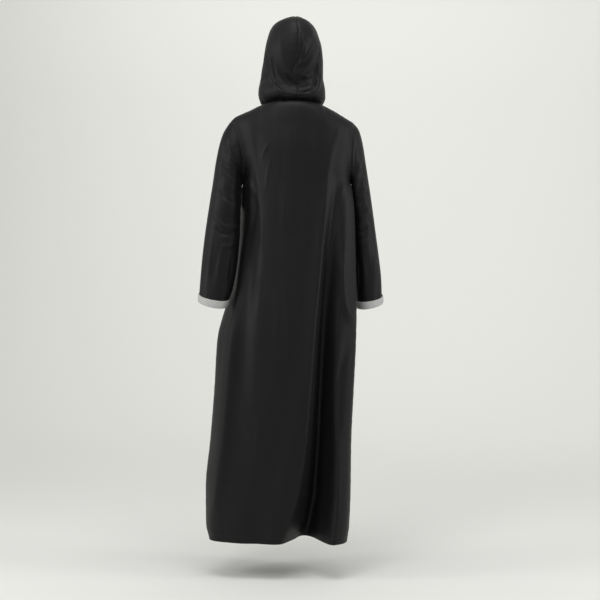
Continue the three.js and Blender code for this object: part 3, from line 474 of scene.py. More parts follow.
LEFT_FRONT_CREASES = short_creases(
    (222, -120, 200, -180, 170, -240, 3.9, 7, 7, 7, 7, 7, 7),
    (262, -380, 226, -400, 180, -380, -4.5, 7, 7, 7, 7, 7, 7),
    (266, -440, 232, -448, 188, -430, -3.6, 7, 7, 7, 7, 7, 7),
    (254, -600, 242, -520, 236, -440, 3, 10, 12, 10, 12, 9, 10),
)
RIGHT_BACK_CREASES = [
    # Arc of cloth at the elbow
    crease(
        (-202, -380, 0, 5, 6), (-214, -388, 5.1, 5, 8), (-232, -374, 5.9, 5, 8), (-244, -344, 4.1, 5, 7),
        (-250, -312, 0, 5, 6),
    ),
]
RIGHT_BACK_CREASES += short_creases(
    # Pull lines from the armhole
    (-204, -118, -202, -166, -199, -222, -4.9, 5, 6, 5, 6, 5, 5),
    (-226, -168, -216, -206, -204, -240, 4.9, 6, 6, 6, 5, 5, 5),
    (-236, -216, -224, -252, -206, -284, -5.1, 6, 6, 6, 5, 5, 5),
    (-242, -254, -228, -286, -206, -314, 5.1, 6, 6, 7, 5, 5, 5),
    # Creases below the arc at the elbow
    (-206, -412, -226, -410, -250, -386, -5.7, 5, 5, 6, 6, 5, 5),
    (-208, -452, -226, -446, -250, -428, 4.1, 5, 6, 5, 8, 6, 6),
    # Long folds of the lower sleeve
    (-276, -600, -270, -480, -262, -360, 3.2, 8, 8, 8, 8, 7, 7),
    (-240, -606, -236, -530, -230, -462, 3.8, 9, 8, 10, 7, 8, 7),
    (-216, -600, -212, -540, -208, -484, -3.8, 6, 6, 6, 6, 5, 5),
)
RIGHT_FRONT_CREASES = short_creases(
    (-214, -120, -214, -190, -202, -250, 3.3, 7, 7, 7, 7, 7, 7),
    (-206, -396, -232, -400, -262, -380, -4.2, 7, 7, 7, 7, 7, 7),
    (-210, -448, -236, -452, -264, -436, -3.3, 7, 7, 7, 7, 7, 7),
    (-250, -600, -240, -520, -236, -440, 3, 10, 12, 10, 12, 9, 10),
)
HOOD_BACK_CREASES = [
    # Dark lines that run down both sides to the tuck
    crease((58, 50, 0, 5, 6), (69, 86, -9, 5, 7), (77, 124, -9, 5, 7), (84, 172, 0, 5, 5)),
    crease((42, 58, 0, 5, 5), (54, 88, -7, 4, 6), (62, 122, -6.5, 4, 6), (68, 166, 0, 4, 5)),
    crease(
        (-68, 36, 0, 6, 6), (-76, 74, -9, 6, 5), (-80, 112, -9, 7, 5), (-86, 152, -5, 6, 5),
        (-88, 190, 0, 5, 5),
    ),
    # Bottom of the tuck
    crease(
        (56, 72, -3, 7, 6), (38, 56, -8, 8, 7), (12, 42, -10, 9, 7), (-20, 36, -10.5, 9, 7),
        (-50, 34, -8, 9, 7), (-66, 44, 0, 7, 6),
    ),
    # Rim of the roll of cloth below it
    crease(
        (-96, 128, 0, 5, 5), (-90, 79, 3.4, 5, 6), (-78, 38, 4.4, 6, 6), (-47, 15, 4.6, 6, 7),
        (-12, 9, 4.6, 6, 7), (16, 17, 4.6, 6, 7), (46, 44, 4.4, 5, 7), (64, 74, 4, 5, 6),
        (74, 108, 3.2, 5, 5), (84, 152, 0, 5, 5),
    ),
    # Slanting crease over the right half
    crease(
        (-14, 96, 0, 6, 5), (-34, 108, -6, 8, 4), (-52, 128, -7, 8, 4), (-66, 152, -5.5, 7, 4),
        (-82, 184, 0, 5, 4),
    ),
    crease((-10, 112, 0, 5, 6), (-38, 130, 3.6, 4, 7), (-60, 164, 3.4, 4, 7), (-72, 200, 0, 4, 5)),
    # Fold down the middle, left of the slanting crease
    crease((-2, 80, 0, 5, 5), (-6, 110, -4, 6, 6), (-22, 142, -3.2, 7, 7), (-26, 168, 0, 7, 7)),
]
HOOD_BACK_CREASES += short_creases(
    # Creases beside the fold down the middle
    (-34, 196, -40, 164, -36, 128, 2.6, 5, 5, 5, 6, 5, 5),
    (-38, 150, -42, 176, -50, 212, 3.6, 6, 7, 5, 8, 6, 7),
    (-22, 246, -31, 214, -30, 172, 3.4, 5, 5, 4, 7, 4, 5),
    # Small creases below the slanting one
    (8, 66, -20, 64, -52, 58, 2.6, 5, 5, 4, 5, 5, 5),
    (-30, 82, -46, 84, -62, 92, 2.4, 5, 5, 4, 5, 5, 5),
    # Outer crease of the left half
    (74, 100, 86, 86, 100, 70, -6, 5, 6, 5, 6, 5, 5),
    (82, 84, 94, 66, 102, 50, 3, 5, 5, 5, 6, 5, 5),
    # Soft pull lines over the crown
    (30, 150, 36, 200, 24, 252, 3, 10, 10, 8, 10, 8, 8),
    (-66, 190, -60, 226, -40, 262, 3.2, 9, 9, 8, 9, 8, 8),
)
HOOD_FRONT_CREASES = short_creases(
    (60, -70, 84, -20, 96, 30, 2.9, 8, 8, 8, 8, 7, 7),
    (-56, -70, -80, -20, -94, 30, 2.9, 8, 8, 8, 8, 7, 7),
)


def lerp(a, b, t):
    return a + (b - a) * t


def clamp(value, low=0.0, high=1.0):
    return np.clip(value, low, high)


def smoothstep(value, low, high):
    t = clamp((value - low) / (high - low))
    return t * t * (3 - 2 * t)


def monotone_curve(xs, ys):
    """A smooth curve through the points, which rises and falls only where they do."""
    slopes = np.diff(ys) / np.diff(xs)
    before = np.concatenate([slopes[:1], slopes])
    after = np.concatenate([slopes, slopes[-1:]])
    same = before * after > 0
    tangents = np.where(same, 2 * before * after / np.where(same, before + after, 1), 0)

    def at(x):
        x = np.asarray(x, float)
        i = np.clip(np.searchsorted(xs, x, side="left") - 1, 0, len(slopes) - 1)
        step = xs[i + 1] - xs[i]
        t = clamp((x - xs[i]) / step)
        rise = 3 * t**2 - 2 * t**3
        start = (t**3 - 2 * t**2 + t) * step * tangents[i]
        end = (t**3 - t**2) * step * tangents[i + 1]
        return lerp(ys[i], ys[i + 1], rise) + start + end

    return at


def reader(rows):
    """Reads a table between its rows, which go up in its first column."""
    key = next(iter(rows))
    curves = {name: monotone_curve(rows[key], ys) for name, ys in rows.items() if name != key}
    return lambda x: {name: curve(x) for name, curve in curves.items()}


body_at = reader(BODY)
squareness_at = reader(SQUARENESS)
deep_fold_at = reader(DEEP_FOLD)
hood_at = reader(HOOD)
SOFT_FOLDS = {"back": BACK_FOLDS, "front": FRONT_FOLDS}
SLEEVES = {
    "left": {"side": 1, "at": reader(SLEEVE_LEFT), "creases": LEFT_CREASES},
    "right": {"side": -1, "at": reader(SLEEVE_RIGHT), "creases": RIGHT_CREASES},
}


def stack(x, y, z):
    """Points from their coordinates, as one array."""
    return np.stack(np.broadcast_arrays(x, y, z), axis=-1).astype(float)


def unit(vectors):
    return vectors / np.maximum(np.linalg.norm(vectors, axis=-1, keepdims=True), TINY)


def quarter_at(face, x, z):
    """The quarter of the body's section that holds x, on the back or on the front."""
    body = body_at(z)
    square = squareness_at(z)
    is_left = np.asarray(x) >= 0
    middle = body["front"]
    if face == "back":
        fold = deep_fold_at(z)
        turn = smoothstep(x, fold["x"] - fold["right"], fold["x"] + fold["left"])
        middle = lerp(body["back_right"], body["back_left"], turn)
    reach = np.where(is_left, body["left"], body["right"])
    seam_y = lerp(body["seam_right"], body["seam_left"], (1 + x / reach) / 2)
    power = np.where(is_left, square[face + "_left"], square[face + "_right"])
    return reach, seam_y, middle, power


def across_at(face, angle, z):
    """How far across the panel a column is, from the angle round the section."""
    sign = np.where(np.cos(angle) >= 0, 1.0, -1.0)
    reach, _, _, power = quarter_at(face, sign * TINY, z)
    return sign * reach * np.abs(np.cos(angle)) ** (2 / power)


def angle_at(face, x, z):
    """The angle round the section of a point that lies x across."""
    reach, _, _, power = quarter_at(face, x, z)
    angle = np.arccos(clamp(np.abs(x) / reach) ** (power / 2))
    return np.where(np.asarray(x) >= 0, angle, math.pi - angle)


def deep_fold_depth(x, z):
    """The deep fold's depth at a point, as a smooth valley with a steep left bank."""
    fold = deep_fold_at(z)
    reach = np.where(x > fold["x"], fold["left"], fold["right"])
    t = clamp(np.abs(x - fold["x"]) / reach)
    fade = smoothstep(-z, -FOLD_END_Z, -UNDERARM_Z)
    return fade * fold["depth"] * (1 + np.cos(math.pi * t)) / 2


def soft_fold_height(face, x, z):
    """How far the soft folds stand out at a point."""
    height = np.zeros(np.broadcast(x, z).shape)
    for rows in SOFT_FOLDS[face]:
        fold = reader(rows)(z)
        inside = (z >= rows["z"][0]) & (z <= rows["z"][-1])
        height += np.where(inside, fold["out"] * np.exp(-(((x - fold["x"]) / fold["width"]) ** 2)), 0)
    return height


def body_point(face, x, z):
    """Points of the body below the underarm, x across the front or back panel."""
    reach, seam_y, middle, power = quarter_at(face, x, z)
    share = clamp(np.abs(x) / reach)
    rise = np.maximum(1 - share**power, 0) ** (1 / power)
    out_x = np.sign(x) * share ** (power - 1) / reach
    out_y = rise ** (power - 1) / (middle - seam_y)
    out = unit(stack(out_x, out_y, 0 * x))
    height = (1 - smoothstep(share, FOLD_FREE_SHARE, 1)) * soft_fold_height(face, x, z)
    armpit_y = quarter_at(face, x, np.full(x.shape, float(UNDERARM_Z)))[1]
    pulled = armpit_y + (middle - armpit_y) * rise + (seam_y - armpit_y) * share**SEAM_PULL
    hanging = seam_y + (middle - seam_y) * rise
    y = lerp(pulled, hanging, smoothstep(UNDERARM_Z - z, 0, SEAM_PULL_REACH))
    points = stack(x, y, z) + out * height[..., None]
    if face == "back":
        points[..., 1] -= deep_fold_depth(x, z)
    return points


def sleeve_point(sleeve, ring, angle):
    """Points of a sleeve: the angle is 0 at the outer point and a quarter turn at the back."""
    ring, angle = np.broadcast_arrays(np.asarray(ring, float), np.asarray(angle, float))
    row = sleeve["at"](ring)
    across = (1 + np.cos(angle)) / 2
    back = np.sin(angle)
    points = stack(
        lerp(row["inner_x"], row["outer_x"], across) - sleeve["side"] * row["bow"] * back * back,
        row["mid_y"] + row["half_depth"] * back,
        lerp(row["inner_z"], row["outer_z"], across) - row["drop"] * back,
    )
    middle = stack((row["inner_x"] + row["outer_x"]) / 2, row["mid_y"], (row["inner_z"] + row["outer_z"]) / 2)
    out = unit(points - middle)
    creases = sleeve["creases"]
    for i in range(len(creases["ring"])):
        degrees = (np.degrees(angle) - creases["angle"][i] + 180) % 360 - 180
        along = (ring - creases["ring"][i]) / creases["rings"][i]
        around = degrees / creases["spread"][i]
        points = points + out * (creases["out"][i] * np.exp(-along * along - around * around))[..., None]
    return points


def hood_row_point(row, side, turn):
    """Points of a hood row: turn is 0 at the centre seam, 1 at the side and 2 at the face edge."""
    reach = row["left"] if side > 0 else -row["right"]
    edge = row["edge_x"] + side * row["edge"]
    angle = np.minimum(turn, 1) * math.pi / 2
    behind = stack(
        lerp(row["seam_x"], reach, np.sin(angle)),
        lerp(row["side_y"], row["seam_y"], np.cos(angle)),
        lerp(row["seam_z"], row["side_z"], np.sin(angle) ** 2),
    )
    forward = np.maximum(turn - 1, 0) * math.pi / 2
    ahead = stack(
        lerp(edge, reach, np.cos(forward)),
        lerp(row["side_y"], row["edge_y"], np.sin(forward)),
        lerp(row["edge_z"], row["side_z"], np.maximum(np.cos(forward), 0) ** V_NECK_CURVE),
    )
    return np.where((np.asarray(turn) <= 1)[..., None], behind, ahead)


def tuck_depth(points):
    """How deep the tuck of the hood is at points of its back."""
    x, y, z = points[..., 0], points[..., 1], points[..., 2]
    reach = np.where(x > TUCK["x"], TUCK["left"], TUCK["right"])
    away = np.hypot((x - TUCK["x"]) / reach, (z - TUCK["z"]) / TUCK["bottom"]) - 1
    lower = clamp((TUCK["z"] - z) / TUCK["bottom"]) ** TUCK["sharpness"]
    across = away * (reach + TUCK["bottom"]) / 2 / TUCK["width"]
    depth = TUCK["depth"] * lower * np.exp(-across * across)
    return np.where((y < 0) | (z > TUCK["z"]), 0, depth)


def hood_point(station, side, turn):
    station, turn = np.broadcast_arrays(np.asarray(station, float), np.asarray(turn, float))
    points = hood_row_point(hood_at(station), side, turn)
    inward = unit(stack(TUCK["x"] - points[..., 0], -points[..., 1], 0))
    return points + inward * (np.minimum(station, 1) * tuck_depth(points))[..., None]


def top_edge(face):
    """The points of a panel's top edge, from the left shoulder tip over the neck to the right one."""
    neck = {name: values[0] for name, values in HOOD.items() if name != "row"}
    share = np.arange(1, SHOULDER_COLUMNS + 1) / SHOULDER_COLUMNS

    def shoulder(side):
        name = "left" if side > 0 else "right"
        tip = sleeve_point(SLEEVES[name], 0, 0)
        corner = np.array([side * NECK_HALF_WIDTH, 0, NECK_SIDE_Z], float)
        points = corner + (tip - corner) * share[:, None]
        points[:, 2] += SHOULDER_RISE[name] * np.sin(math.pi * share**2)
        return points

    if face == "back":
        left = hood_row_point(neck, 1, np.linspace(1, 0, NECK_COLUMNS["back_left"] + 1))
        right = hood_row_point(neck, -1, np.linspace(0, 1, NECK_COLUMNS["back_right"] + 1)[1:])
    else:
        left = hood_row_point(neck, 1, np.linspace(1, 2, NECK_COLUMNS["front"] + 1))
        right = hood_row_point(neck, -1, np.linspace(2, 1, NECK_COLUMNS["front"] + 1))
    return np.concatenate([shoulder(1)[::-1], left, right, shoulder(-1)])


def column_angles(face, columns, z):
    """The angles round the section where a panel's columns lie: those of the back gather at the fold."""
    even = math.pi * np.arange(columns + 1) / columns
    if face == "front":
        return even
    fold = deep_fold_at(z)
    left_x = fold["x"] + fold["left"] + FOLD_MARGIN["left"]
    right_x = fold["x"] - fold["right"] - FOLD_MARGIN["right"]
    stops = [0, angle_at(face, left_x, z), angle_at(face, fold["x"], z), angle_at(face, right_x, z), math.pi]
    places = np.concatenate([[0], np.cumsum(FOLD_COLUMNS)])
    gathered = np.interp(np.arange(columns + 1), places, np.array(stops, float))
    follow = smoothstep(UNDERARM_Z - z, 0, FOLD_COLUMNS_REACH)
    return lerp(even, gathered, follow)


def shoulder_row(face, top, share):
    """A row of a panel above the underarm: its sides follow the armholes and its top the shoulders."""
    z = UNDERARM_Z
    armhole = math.pi * (1 - share if face == "back" else 1 + share)
    left = sleeve_point(SLEEVES["left"], 0, armhole)
    right = sleeve_point(SLEEVES["right"], 0, armhole)
    climb = (1 - math.cos(math.pi * share)) / 2
    low = across_at(face, column_angles(face, len(top) - 1, z), z)
    low_share = low / np.where(low >= 0, body_at(z)["left"], body_at(z)["right"])
    top_share = top[:, 0] / np.where(top[:, 0] >= 0, top[0, 0], -top[-1, 0])
    across = lerp(low_share, top_share, smoothstep(share, 0, 1))
    level = lerp(z, top[:, 2], climb)
    edge_y = lerp(right[1], left[1], (across + 1) / 2)
    tip_y = lerp(top[-1, 1], top[0, 1], (across + 1) / 2)
    x = across * np.abs(np.where(across >= 0, left[0], right[0]))
    _, _, middle, power = quarter_at(face, x, level)
    section = (middle - tip_y) * np.maximum(1 - np.abs(across) ** power, 0) ** (1 / power)
    armhole_edge = (edge_y - tip_y) * np.abs(across) ** EDGE_PULL
    full = tip_y + np.cbrt(section**3 + armhole_edge**3)
    below = clamp((top[:, 2] - level) / SHOULDER_ROUND)
    turned = np.sqrt(1 - (1 - below) ** 2)
    seam = top[:, 1] + (edge_y - tip_y)
    fold = deep_fold_depth(x, level) if face == "back" else 0
    row = stack(x, lerp(seam, full, turned) - fold, level)
    row[0] = left
    row[-1] = right
    return row


def upper_shares():
    """How far round the armhole each row above the underarm ends, from the armpit to the shoulder tip."""
    t = np.arange(UPPER_ROWS + 1) / UPPER_ROWS
    return (t + np.arccos(1 - 2 * t) / math.pi) / 2


def panel_grid(face):
    """A front or back panel, as rows from the hem to the shoulders."""
    top = top_edge(face)
    low_start = HEM_Z + HEM_LEVELS[-1]
    low_rows = math.ceil((UNDERARM_Z - low_start) / LOW_STEP)
    levels = [HEM_Z + above for above in HEM_LEVELS]
    levels += list(np.linspace(low_start, UNDERARM_Z, low_rows + 1)[1:])
    rows = []
    for z in levels:
        angles = column_angles(face, len(top) - 1, z)
        rows.append(body_point(face, across_at(face, angles, z), np.full(len(top), float(z))))
    rows += [shoulder_row(face, top, share) for share in upper_shares()[1:]]
    return np.array(rows)


def band_ring(sleeve):
    """The ring of a sleeve where its band starts."""
    end = sleeve["at"](CUFF_RING)
    before = sleeve["at"](CUFF_RING - 1)
    last_step = (before["outer_z"] + before["inner_z"] - end["outer_z"] - end["inner_z"]) / 2
    return CUFF_RING - BAND_WIDTH / last_step


def sleeve_angles():
    half = math.pi * upper_shares()[:-1]
    return np.concatenate([half, math.pi + half])


def sleeve_grid(sleeve):
    """A sleeve from the armhole to the end under its band."""
    rings = np.linspace(0, CUFF_RING, SLEEVE_ROWS + 1)
    return sleeve_point(sleeve, rings[:, None], sleeve_angles()[None, :])


def hood_grid(side):
    """One half of the hood, from the neck seam to the middle of the forehead."""
    last_row = HOOD["row"][-1]
    behind = NECK_COLUMNS["back_left" if side > 0 else "back_right"]
    turns = np.concatenate([
        np.linspace(0, 1, behind + 1),
        1 + np.linspace(0, 1, NECK_COLUMNS["front"] + 1)[1:],
    ])
    grid = hood_point(np.linspace(0, last_row, HOOD_ROWS + 1)[:, None], side, turns[None, :])
    ahead = np.arange(1, HOOD_POLE_ROWS + 1) / (HOOD_POLE_ROWS + HOOD_POLE_GAP)
    pole_rows = lerp(grid[-1][None], FOREHEAD[None, None], ahead[:, None, None])
    return np.concatenate([grid, pole_rows])


def grid_normals(grid, closed, outward):
    """The directions that face out at each point of a grid."""
    end = np.concatenate([grid, grid[:, :1]], axis=1) if closed else grid
    facing = np.cross(end[1:, 1:] - end[:-1, :-1], end[1:, :-1] - end[:-1, 1:]) * outward
    total = np.zeros(end.shape)
    for r, c in ((0, 0), (0, 1), (1, 0), (1, 1)):
        total[r : r + facing.shape[0], c : c + facing.shape[1]] += facing
    if closed:
        total[:, 0] += total[:, -1]
        total = total[:, :-1]
    return unit(total)


def lengths_along(points, axis):
    """How far each point is from the first one, along an axis of the array."""
    steps = np.linalg.norm(np.diff(points, axis=axis), axis=-1)
    return np.insert(np.cumsum(steps, axis=axis), 0, 0, axis=axis)


def crease_height(points, normals, creases, side):
    """Listed creases: lines across x and z that stand out or sink in, on the back or the front."""
    x, z = points[..., 0], points[..., 2]
    height = np.zeros(x.shape)
    for rows in creases:
        order = np.arange(len(rows["x"]))
        fine = np.linspace(0, order[-1], CREASE_STEPS * order[-1] + 1)
        line = {name: monotone_curve(order.astype(float), values)(fine) for name, values in rows.items()}
        reach = max(line["left"].max(), line["right"].max()) * CREASE_REACH
        near = (
            (x > line["x"].min() - reach) & (x < line["x"].max() + reach)
            & (z > line["z"].min() - reach) & (z < line["z"].max() + reach)
        )
        px, pz = x[near], z[near]
        nearest = np.full(px.shape, np.inf)
        rise = np.zeros(px.shape)
        for i in range(len(fine) - 1):
            ax, az = line["x"][i], line["z"][i]
            bx, bz = line["x"][i + 1] - ax, line["z"][i + 1] - az
            length = max(bx * bx + bz * bz, TINY)
            t = clamp(((px - ax) * bx + (pz - az) * bz) / length)
            ox, oz = px - ax - bx * t, pz - az - bz * t
            away = np.hypot(ox, oz)
            width = np.where(bx * oz - bz * ox < 0, line["left"][i], line["right"][i])
            shape = lerp(line["out"][i], line["out"][i + 1], t) * np.exp(-((away / width) ** 2))
            rise = np.where(away < nearest, shape, rise)
            nearest = np.minimum(nearest, away)
        height[near] += rise
    return height * smoothstep(normals[..., 1] * side, *CREASE_FACING)


def drape_height(points, seed):
    """Slow unevenness of hanging cloth: long waves that run down it."""
    rng = np.random.default_rng(seed)
    x, y, z = points[..., 0], points[..., 1], points[..., 2]
    height = np.zeros(x.shape)
    for low, high, size in DRAPE_WAVES:
        for _ in range(WAVES_EACH):
            wave = 2 * math.pi / rng.uniform(low, high)
            heading = rng.uniform(-DRAPE_TURN, DRAPE_TURN)
            lean = rng.uniform(-DRAPE_LEAN, DRAPE_LEAN)
            slow = 2 * math.pi / rng.uniform(*DRAPE_LENGTH)
            phase, other = rng.uniform(0, 2 * math.pi, 2)
            place = x * math.cos(heading) + y * math.sin(heading) + lean * z
            height += size * (1 + DRAPE_UNEVEN * np.sin(z * slow + other)) * np.sin(place * wave + phase)
    return height


def pucker_height(distance, along, seed):
    """The small puckers that a line of sewing draws into the cloth beside it."""
    rng = np.random.default_rng(seed)
    wave = np.zeros(along.shape)
    for length in PUCKER_LENGTHS:
        wave += np.sin(2 * math.pi * along / length + rng.uniform(0, 2 * math.pi))
    rise = (distance / PUCKER_REACH) * np.exp(1 - distance / PUCKER_REACH)
    return PUCKER_HEIGHT * wave * rise


def groove_height(distance):
    """The groove of a seam, a distance from its line."""
    return -GROOVE_DEPTH * np.exp(-((distance / GROOVE_WIDTH) ** 2))


EDGES = {
    "low": (0, 1, 0),
    "high": (-1, -2, 0),
    "first": (0, 1, 1),
    "last": (-1, -2, 1),
}  # each edge of a grid: its line, the line inside it, and whether they are rows (0) or columns (1)


def line_of(grid, index, axis):
    """A row or a column of a grid."""
    return grid[index] if axis == 0 else grid[:, index]


def nearest_on(points, line):
    """How far points are from a line on the cloth, and how far along it their nearest place is."""
    places = lengths_along(line, 0)
    along = np.arange(0, places[-1], SEAM_SAMPLE)
    samples = np.stack([np.interp(along, places, line[:, k]) for k in range(3)], axis=-1)
    tree = kdtree.KDTree(len(samples))
    for i, sample in enumerate(samples):
        tree.insert(sample, i)
    tree.balance()
    flat = points.reshape(-1, 3)
    found = [tree.find(point) for point in flat]
    shape = points.shape[:-1]
    distance = np.array([distance for _, _, distance in found]).reshape(shape)
    return distance, along[[index for _, index, _ in found]].reshape(shape)


@dataclass
class Piece:
    """A cloth piece: the grid of its outer points, how it lies, and the edges that are sewn.

    seams gives for each sewn edge which way the cloth turns in behind it: 1 under its neighbour, -1 away.
    crossed is the seam that creases run across.
    """

    name: str
    grid: np.ndarray
    closed: bool
    outward: int
    seams: dict
    creases: list
    drape: float = 1.0
    crossed: str = None
    normals: np.ndarray = None

    @property
    def seed(self):
        return SEEDS[self.name]


def seam_keys(pieces):
    """For each piece, its points on sewn edges, as (row, column), with the number of the seam point."""
    numbers = {}
    keys = {}
    for piece in pieces:
        rows, columns = piece.grid.shape[:2]
        places = {}
        for seam in piece.seams:
            index, _, axis = EDGES[seam]
            for i in range(columns if axis == 0 else rows):
                place = (index % rows, i) if axis == 0 else (i, index % columns)
                point = tuple(np.round(piece.grid[place] / SAME_POINT).astype(int))
                places[place] = numbers.setdefault(point, len(numbers))
        keys[piece.name] = places
    return keys


def share_normals(pieces, keys):
    """Gives each piece its normals. Pieces that meet at a seam share theirs there."""
    sums = {}
    for piece in pieces:
        piece.normals = grid_normals(piece.grid, piece.closed, piece.outward)
        for place, number in keys[piece.name].items():
            sums[number] = sums.get(number, 0) + piece.normals[place]
    for piece in pieces:
        for place, number in keys[piece.name].items():
            piece.normals[place] = unit(sums[number])


def armpit_distance(points):
    """How far points are from the line below the nearer armpit where a sleeve lies against the body."""
    distances = []
    for sleeve in SLEEVES.values():
        armpit = sleeve_point(sleeve, np.array(0.0), np.array(math.pi))
        below = clamp(armpit[2] - points[..., 2], 0, ARMPIT_CONTACT)
        line = stack(armpit[0], armpit[1], armpit[2] - below)
        distances.append(np.linalg.norm(points - line, axis=-1))
    return np.minimum(*distances)


def dress(piece):
    """Lays a piece's creases and drape, and the grooves and puckers along its seams."""
    grid = piece.grid
    fade = np.ones(grid.shape[:2])
    crease_fade = np.ones(grid.shape[:2])
    height = np.zeros(grid.shape[:2])
    for i, seam in enumerate(piece.seams):
        index, _, axis = EDGES[seam]
        distance, along = nearest_on(grid, line_of(grid, index, axis))
        near_seam = smoothstep(distance, 0, SEAM_FADE)
        fade *= near_seam
        if seam != piece.crossed:
            crease_fade *= near_seam
        seed = piece.seed + PUCKER_SEED_STEP * (i + 1)
        height += groove_height(distance) + pucker_height(distance, along, seed)
    for name in piece.seams:
        index, _, axis = EDGES[name]
        line_of(height, index, axis)[:] = -GROOVE_DEPTH
    soft = fade * piece.drape * drape_height(grid, piece.seed)
    for side, creases in piece.creases:
        soft = soft + crease_fade * crease_height(grid, piece.normals, creases, side)
    calm = smoothstep(armpit_distance(grid), *ARMPIT_CALM)
    piece.grid = grid + piece.normals * (calm * (height + soft))[..., None]


def turned_in(piece):
    """A piece's grid with its sewn edges moved half a seam's gap back and turned in behind the seam."""
    grid = piece.grid.copy()
    normals = piece.normals
    for seam in piece.seams:
        index, inside, axis = EDGES[seam]
        edge = line_of(grid, index, axis)
        edge += unit(line_of(piece.grid, inside, axis) - line_of(piece.grid, index, axis)) * SEAM_GAP / 2
    for seam, way in piece.seams.items():
        index, inside, axis = EDGES[seam]
        rim, rim_normals = line_of(grid, index, axis), line_of(normals, index, axis)
        outside = unit(rim - line_of(grid, inside, axis))
        tilt = np.resize(way, len(rim))[:, None] * TURN_TILT
        lip = np.expand_dims(rim - rim_normals * TURN_IN + outside * tilt, axis)
        lip_normals = np.expand_dims(rim_normals, axis)
        first = seam in ("low", "first")
        grid = np.concatenate([lip, grid] if first else [grid, lip], axis=axis)
        normals = np.concatenate([lip_normals, normals] if first else [normals, lip_normals], axis=axis)
    return grid


def shell_mesh(name, grid, closed, outward, wall, material):
    """A closed thin wall on a grid of outer points, as a mesh object, with the weave's own coordinates."""
    rows, columns = grid.shape[:2]
    normals = grid_normals(grid, closed, outward)
    inner = grid - normals * wall
    points = np.concatenate([grid.reshape(-1, 3), inner.reshape(-1, 3)]) * MM
    layer = rows * columns
    whole = np.concatenate([grid, grid[:, :1]], axis=1) if closed else grid
    across = lengths_along(whole, 1)
    up = lengths_along(whole, 0)
    cell_columns = columns if closed else columns - 1
    r, c = np.meshgrid(np.arange(rows - 1), np.arange(cell_columns), indexing="ij")
    r, c = r.ravel(), c.ravel()
    corner_rows = np.stack([r, r, r + 1, r + 1], axis=1)
    corner_columns = np.stack([c, c + 1, c + 1, c], axis=1)
    outer_faces = corner_rows * columns + corner_columns % columns
    uv = np.stack([across[corner_rows, corner_columns], up[corner_rows, corner_columns]], axis=-1)
    if outward < 0:
        outer_faces, uv = outer_faces[:, ::-1], uv[:, ::-1]
    faces = [outer_faces, outer_faces[:, ::-1] + layer]
    uvs = [uv, uv[:, ::-1]]

    def rim(line_rows, line_columns, flip):
        first = line_rows[:-1] * columns + line_columns[:-1] % columns
        second = line_rows[1:] * columns + line_columns[1:] % columns
        quads = np.stack([first, second, second + layer, first + layer], axis=1)
        places = np.stack([across[line_rows, line_columns], up[line_rows, line_columns]], axis=-1)
        coords = np.stack([places[:-1], places[1:], places[1:], places[:-1]], axis=1)
        if flip:
            quads, coords = quads[:, ::-1], coords[:, ::-1]
        faces.append(quads)
        uvs.append(coords)

    all_columns = np.arange(cell_columns + 1)
    all_rows = np.arange(rows)
    rim(np.zeros_like(all_columns), all_columns, outward > 0)
    rim(np.full_like(all_columns, rows - 1), all_columns, outward < 0)
    if not closed:
        rim(all_rows, np.zeros_like(all_rows), outward < 0)
        rim(all_rows, np.full_like(all_rows, columns - 1), outward > 0)
    return mesh_object(name, points, np.concatenate(faces), np.concatenate(uvs) * MM, material)


def add_object(name, data):
    item = bpy.data.objects.new(name, data)
    bpy.context.scene.collection.objects.link(item)
    return item


def mesh_object(name, points, quads, uvs, material):
    """A mesh object from points and four-sided faces, shaded smooth."""
    mesh = bpy.data.meshes.new(name)
    mesh.vertices.add(len(points))
    mesh.vertices.foreach_set("co", np.ascontiguousarray(points, np.float32).ravel())
    mesh.loops.add(quads.size)
    mesh.loops.foreach_set("vertex_index", np.ascontiguousarray(quads, np.int32).ravel())
    mesh.polygons.add(len(quads))
    mesh.polygons.foreach_set("loop_start", np.arange(0, quads.size, 4, dtype=np.int32))
    if uvs is not None:
        layer = mesh.uv_layers.new(name="weave")
        layer.data.foreach_set("uv", np.ascontiguousarray(uvs, np.float32).ravel())
    mesh.update(calc_edges=True)
    mesh.validate()
    mesh.polygons.foreach_set("use_smooth", np.ones(len(mesh.polygons), bool))
    mesh.materials.append(material)
    return add_object(name, mesh)


def stitch_line(line, normals):
    """Threads along a line on the cloth, as the corners and faces of small round-ended bars."""
    places = lengths_along(line, 0)
    count = max(int(places[-1] / STITCH_PITCH), 1)
    ring = 2 * math.pi * np.arange(THREAD_SIDES) / THREAD_SIDES
    points = []
    quads = []

    def at(distance):
        point = np.array([np.interp(distance, places, line[:, k]) for k in range(3)])
        normal = np.array([np.interp(distance, places, normals[:, k]) for k in range(3)])
        return point, unit(normal)

    for i in range(count):
        middle = (i + 0.5) * places[-1] / count
        start, normal = at(middle - STITCH_LENGTH / 2)
        end, _ = at(middle + STITCH_LENGTH / 2)
        along = unit(end - start)
        across = unit(np.cross(normal, along))
        for t, size, rise in THREAD_RINGS:
            centre = lerp(start, end, t) + normal * rise * THREAD_RADIUS
            circle = np.cos(ring)[:, None] * across + np.sin(ring)[:, None] * normal
            points.append(centre + circle * THREAD_RADIUS * size)
        base = i * len(THREAD_RINGS) * THREAD_SIDES
        for k in range(len(THREAD_RINGS) - 1):
            low = base + k * THREAD_SIDES
            for j in range(THREAD_SIDES):
                following = (j + 1) % THREAD_SIDES
                high = low + THREAD_SIDES
                quads.append([low + j, low + following, high + following, high + j])
    return np.concatenate(points), np.array(quads)


def stitches(name, lines, material):
    """All the stitches of one seam, as one piece."""
    points = []
    quads = []
    start = 0
    for line, normals in lines:
        line_points, line_quads = stitch_line(line, normals)
        points.append(line_points)
        quads.append(line_quads + start)
        start += len(line_points)
    piece = mesh_object(name, np.concatenate(points) * MM, np.concatenate(quads), None, material)
    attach(piece, "root")
    return piece


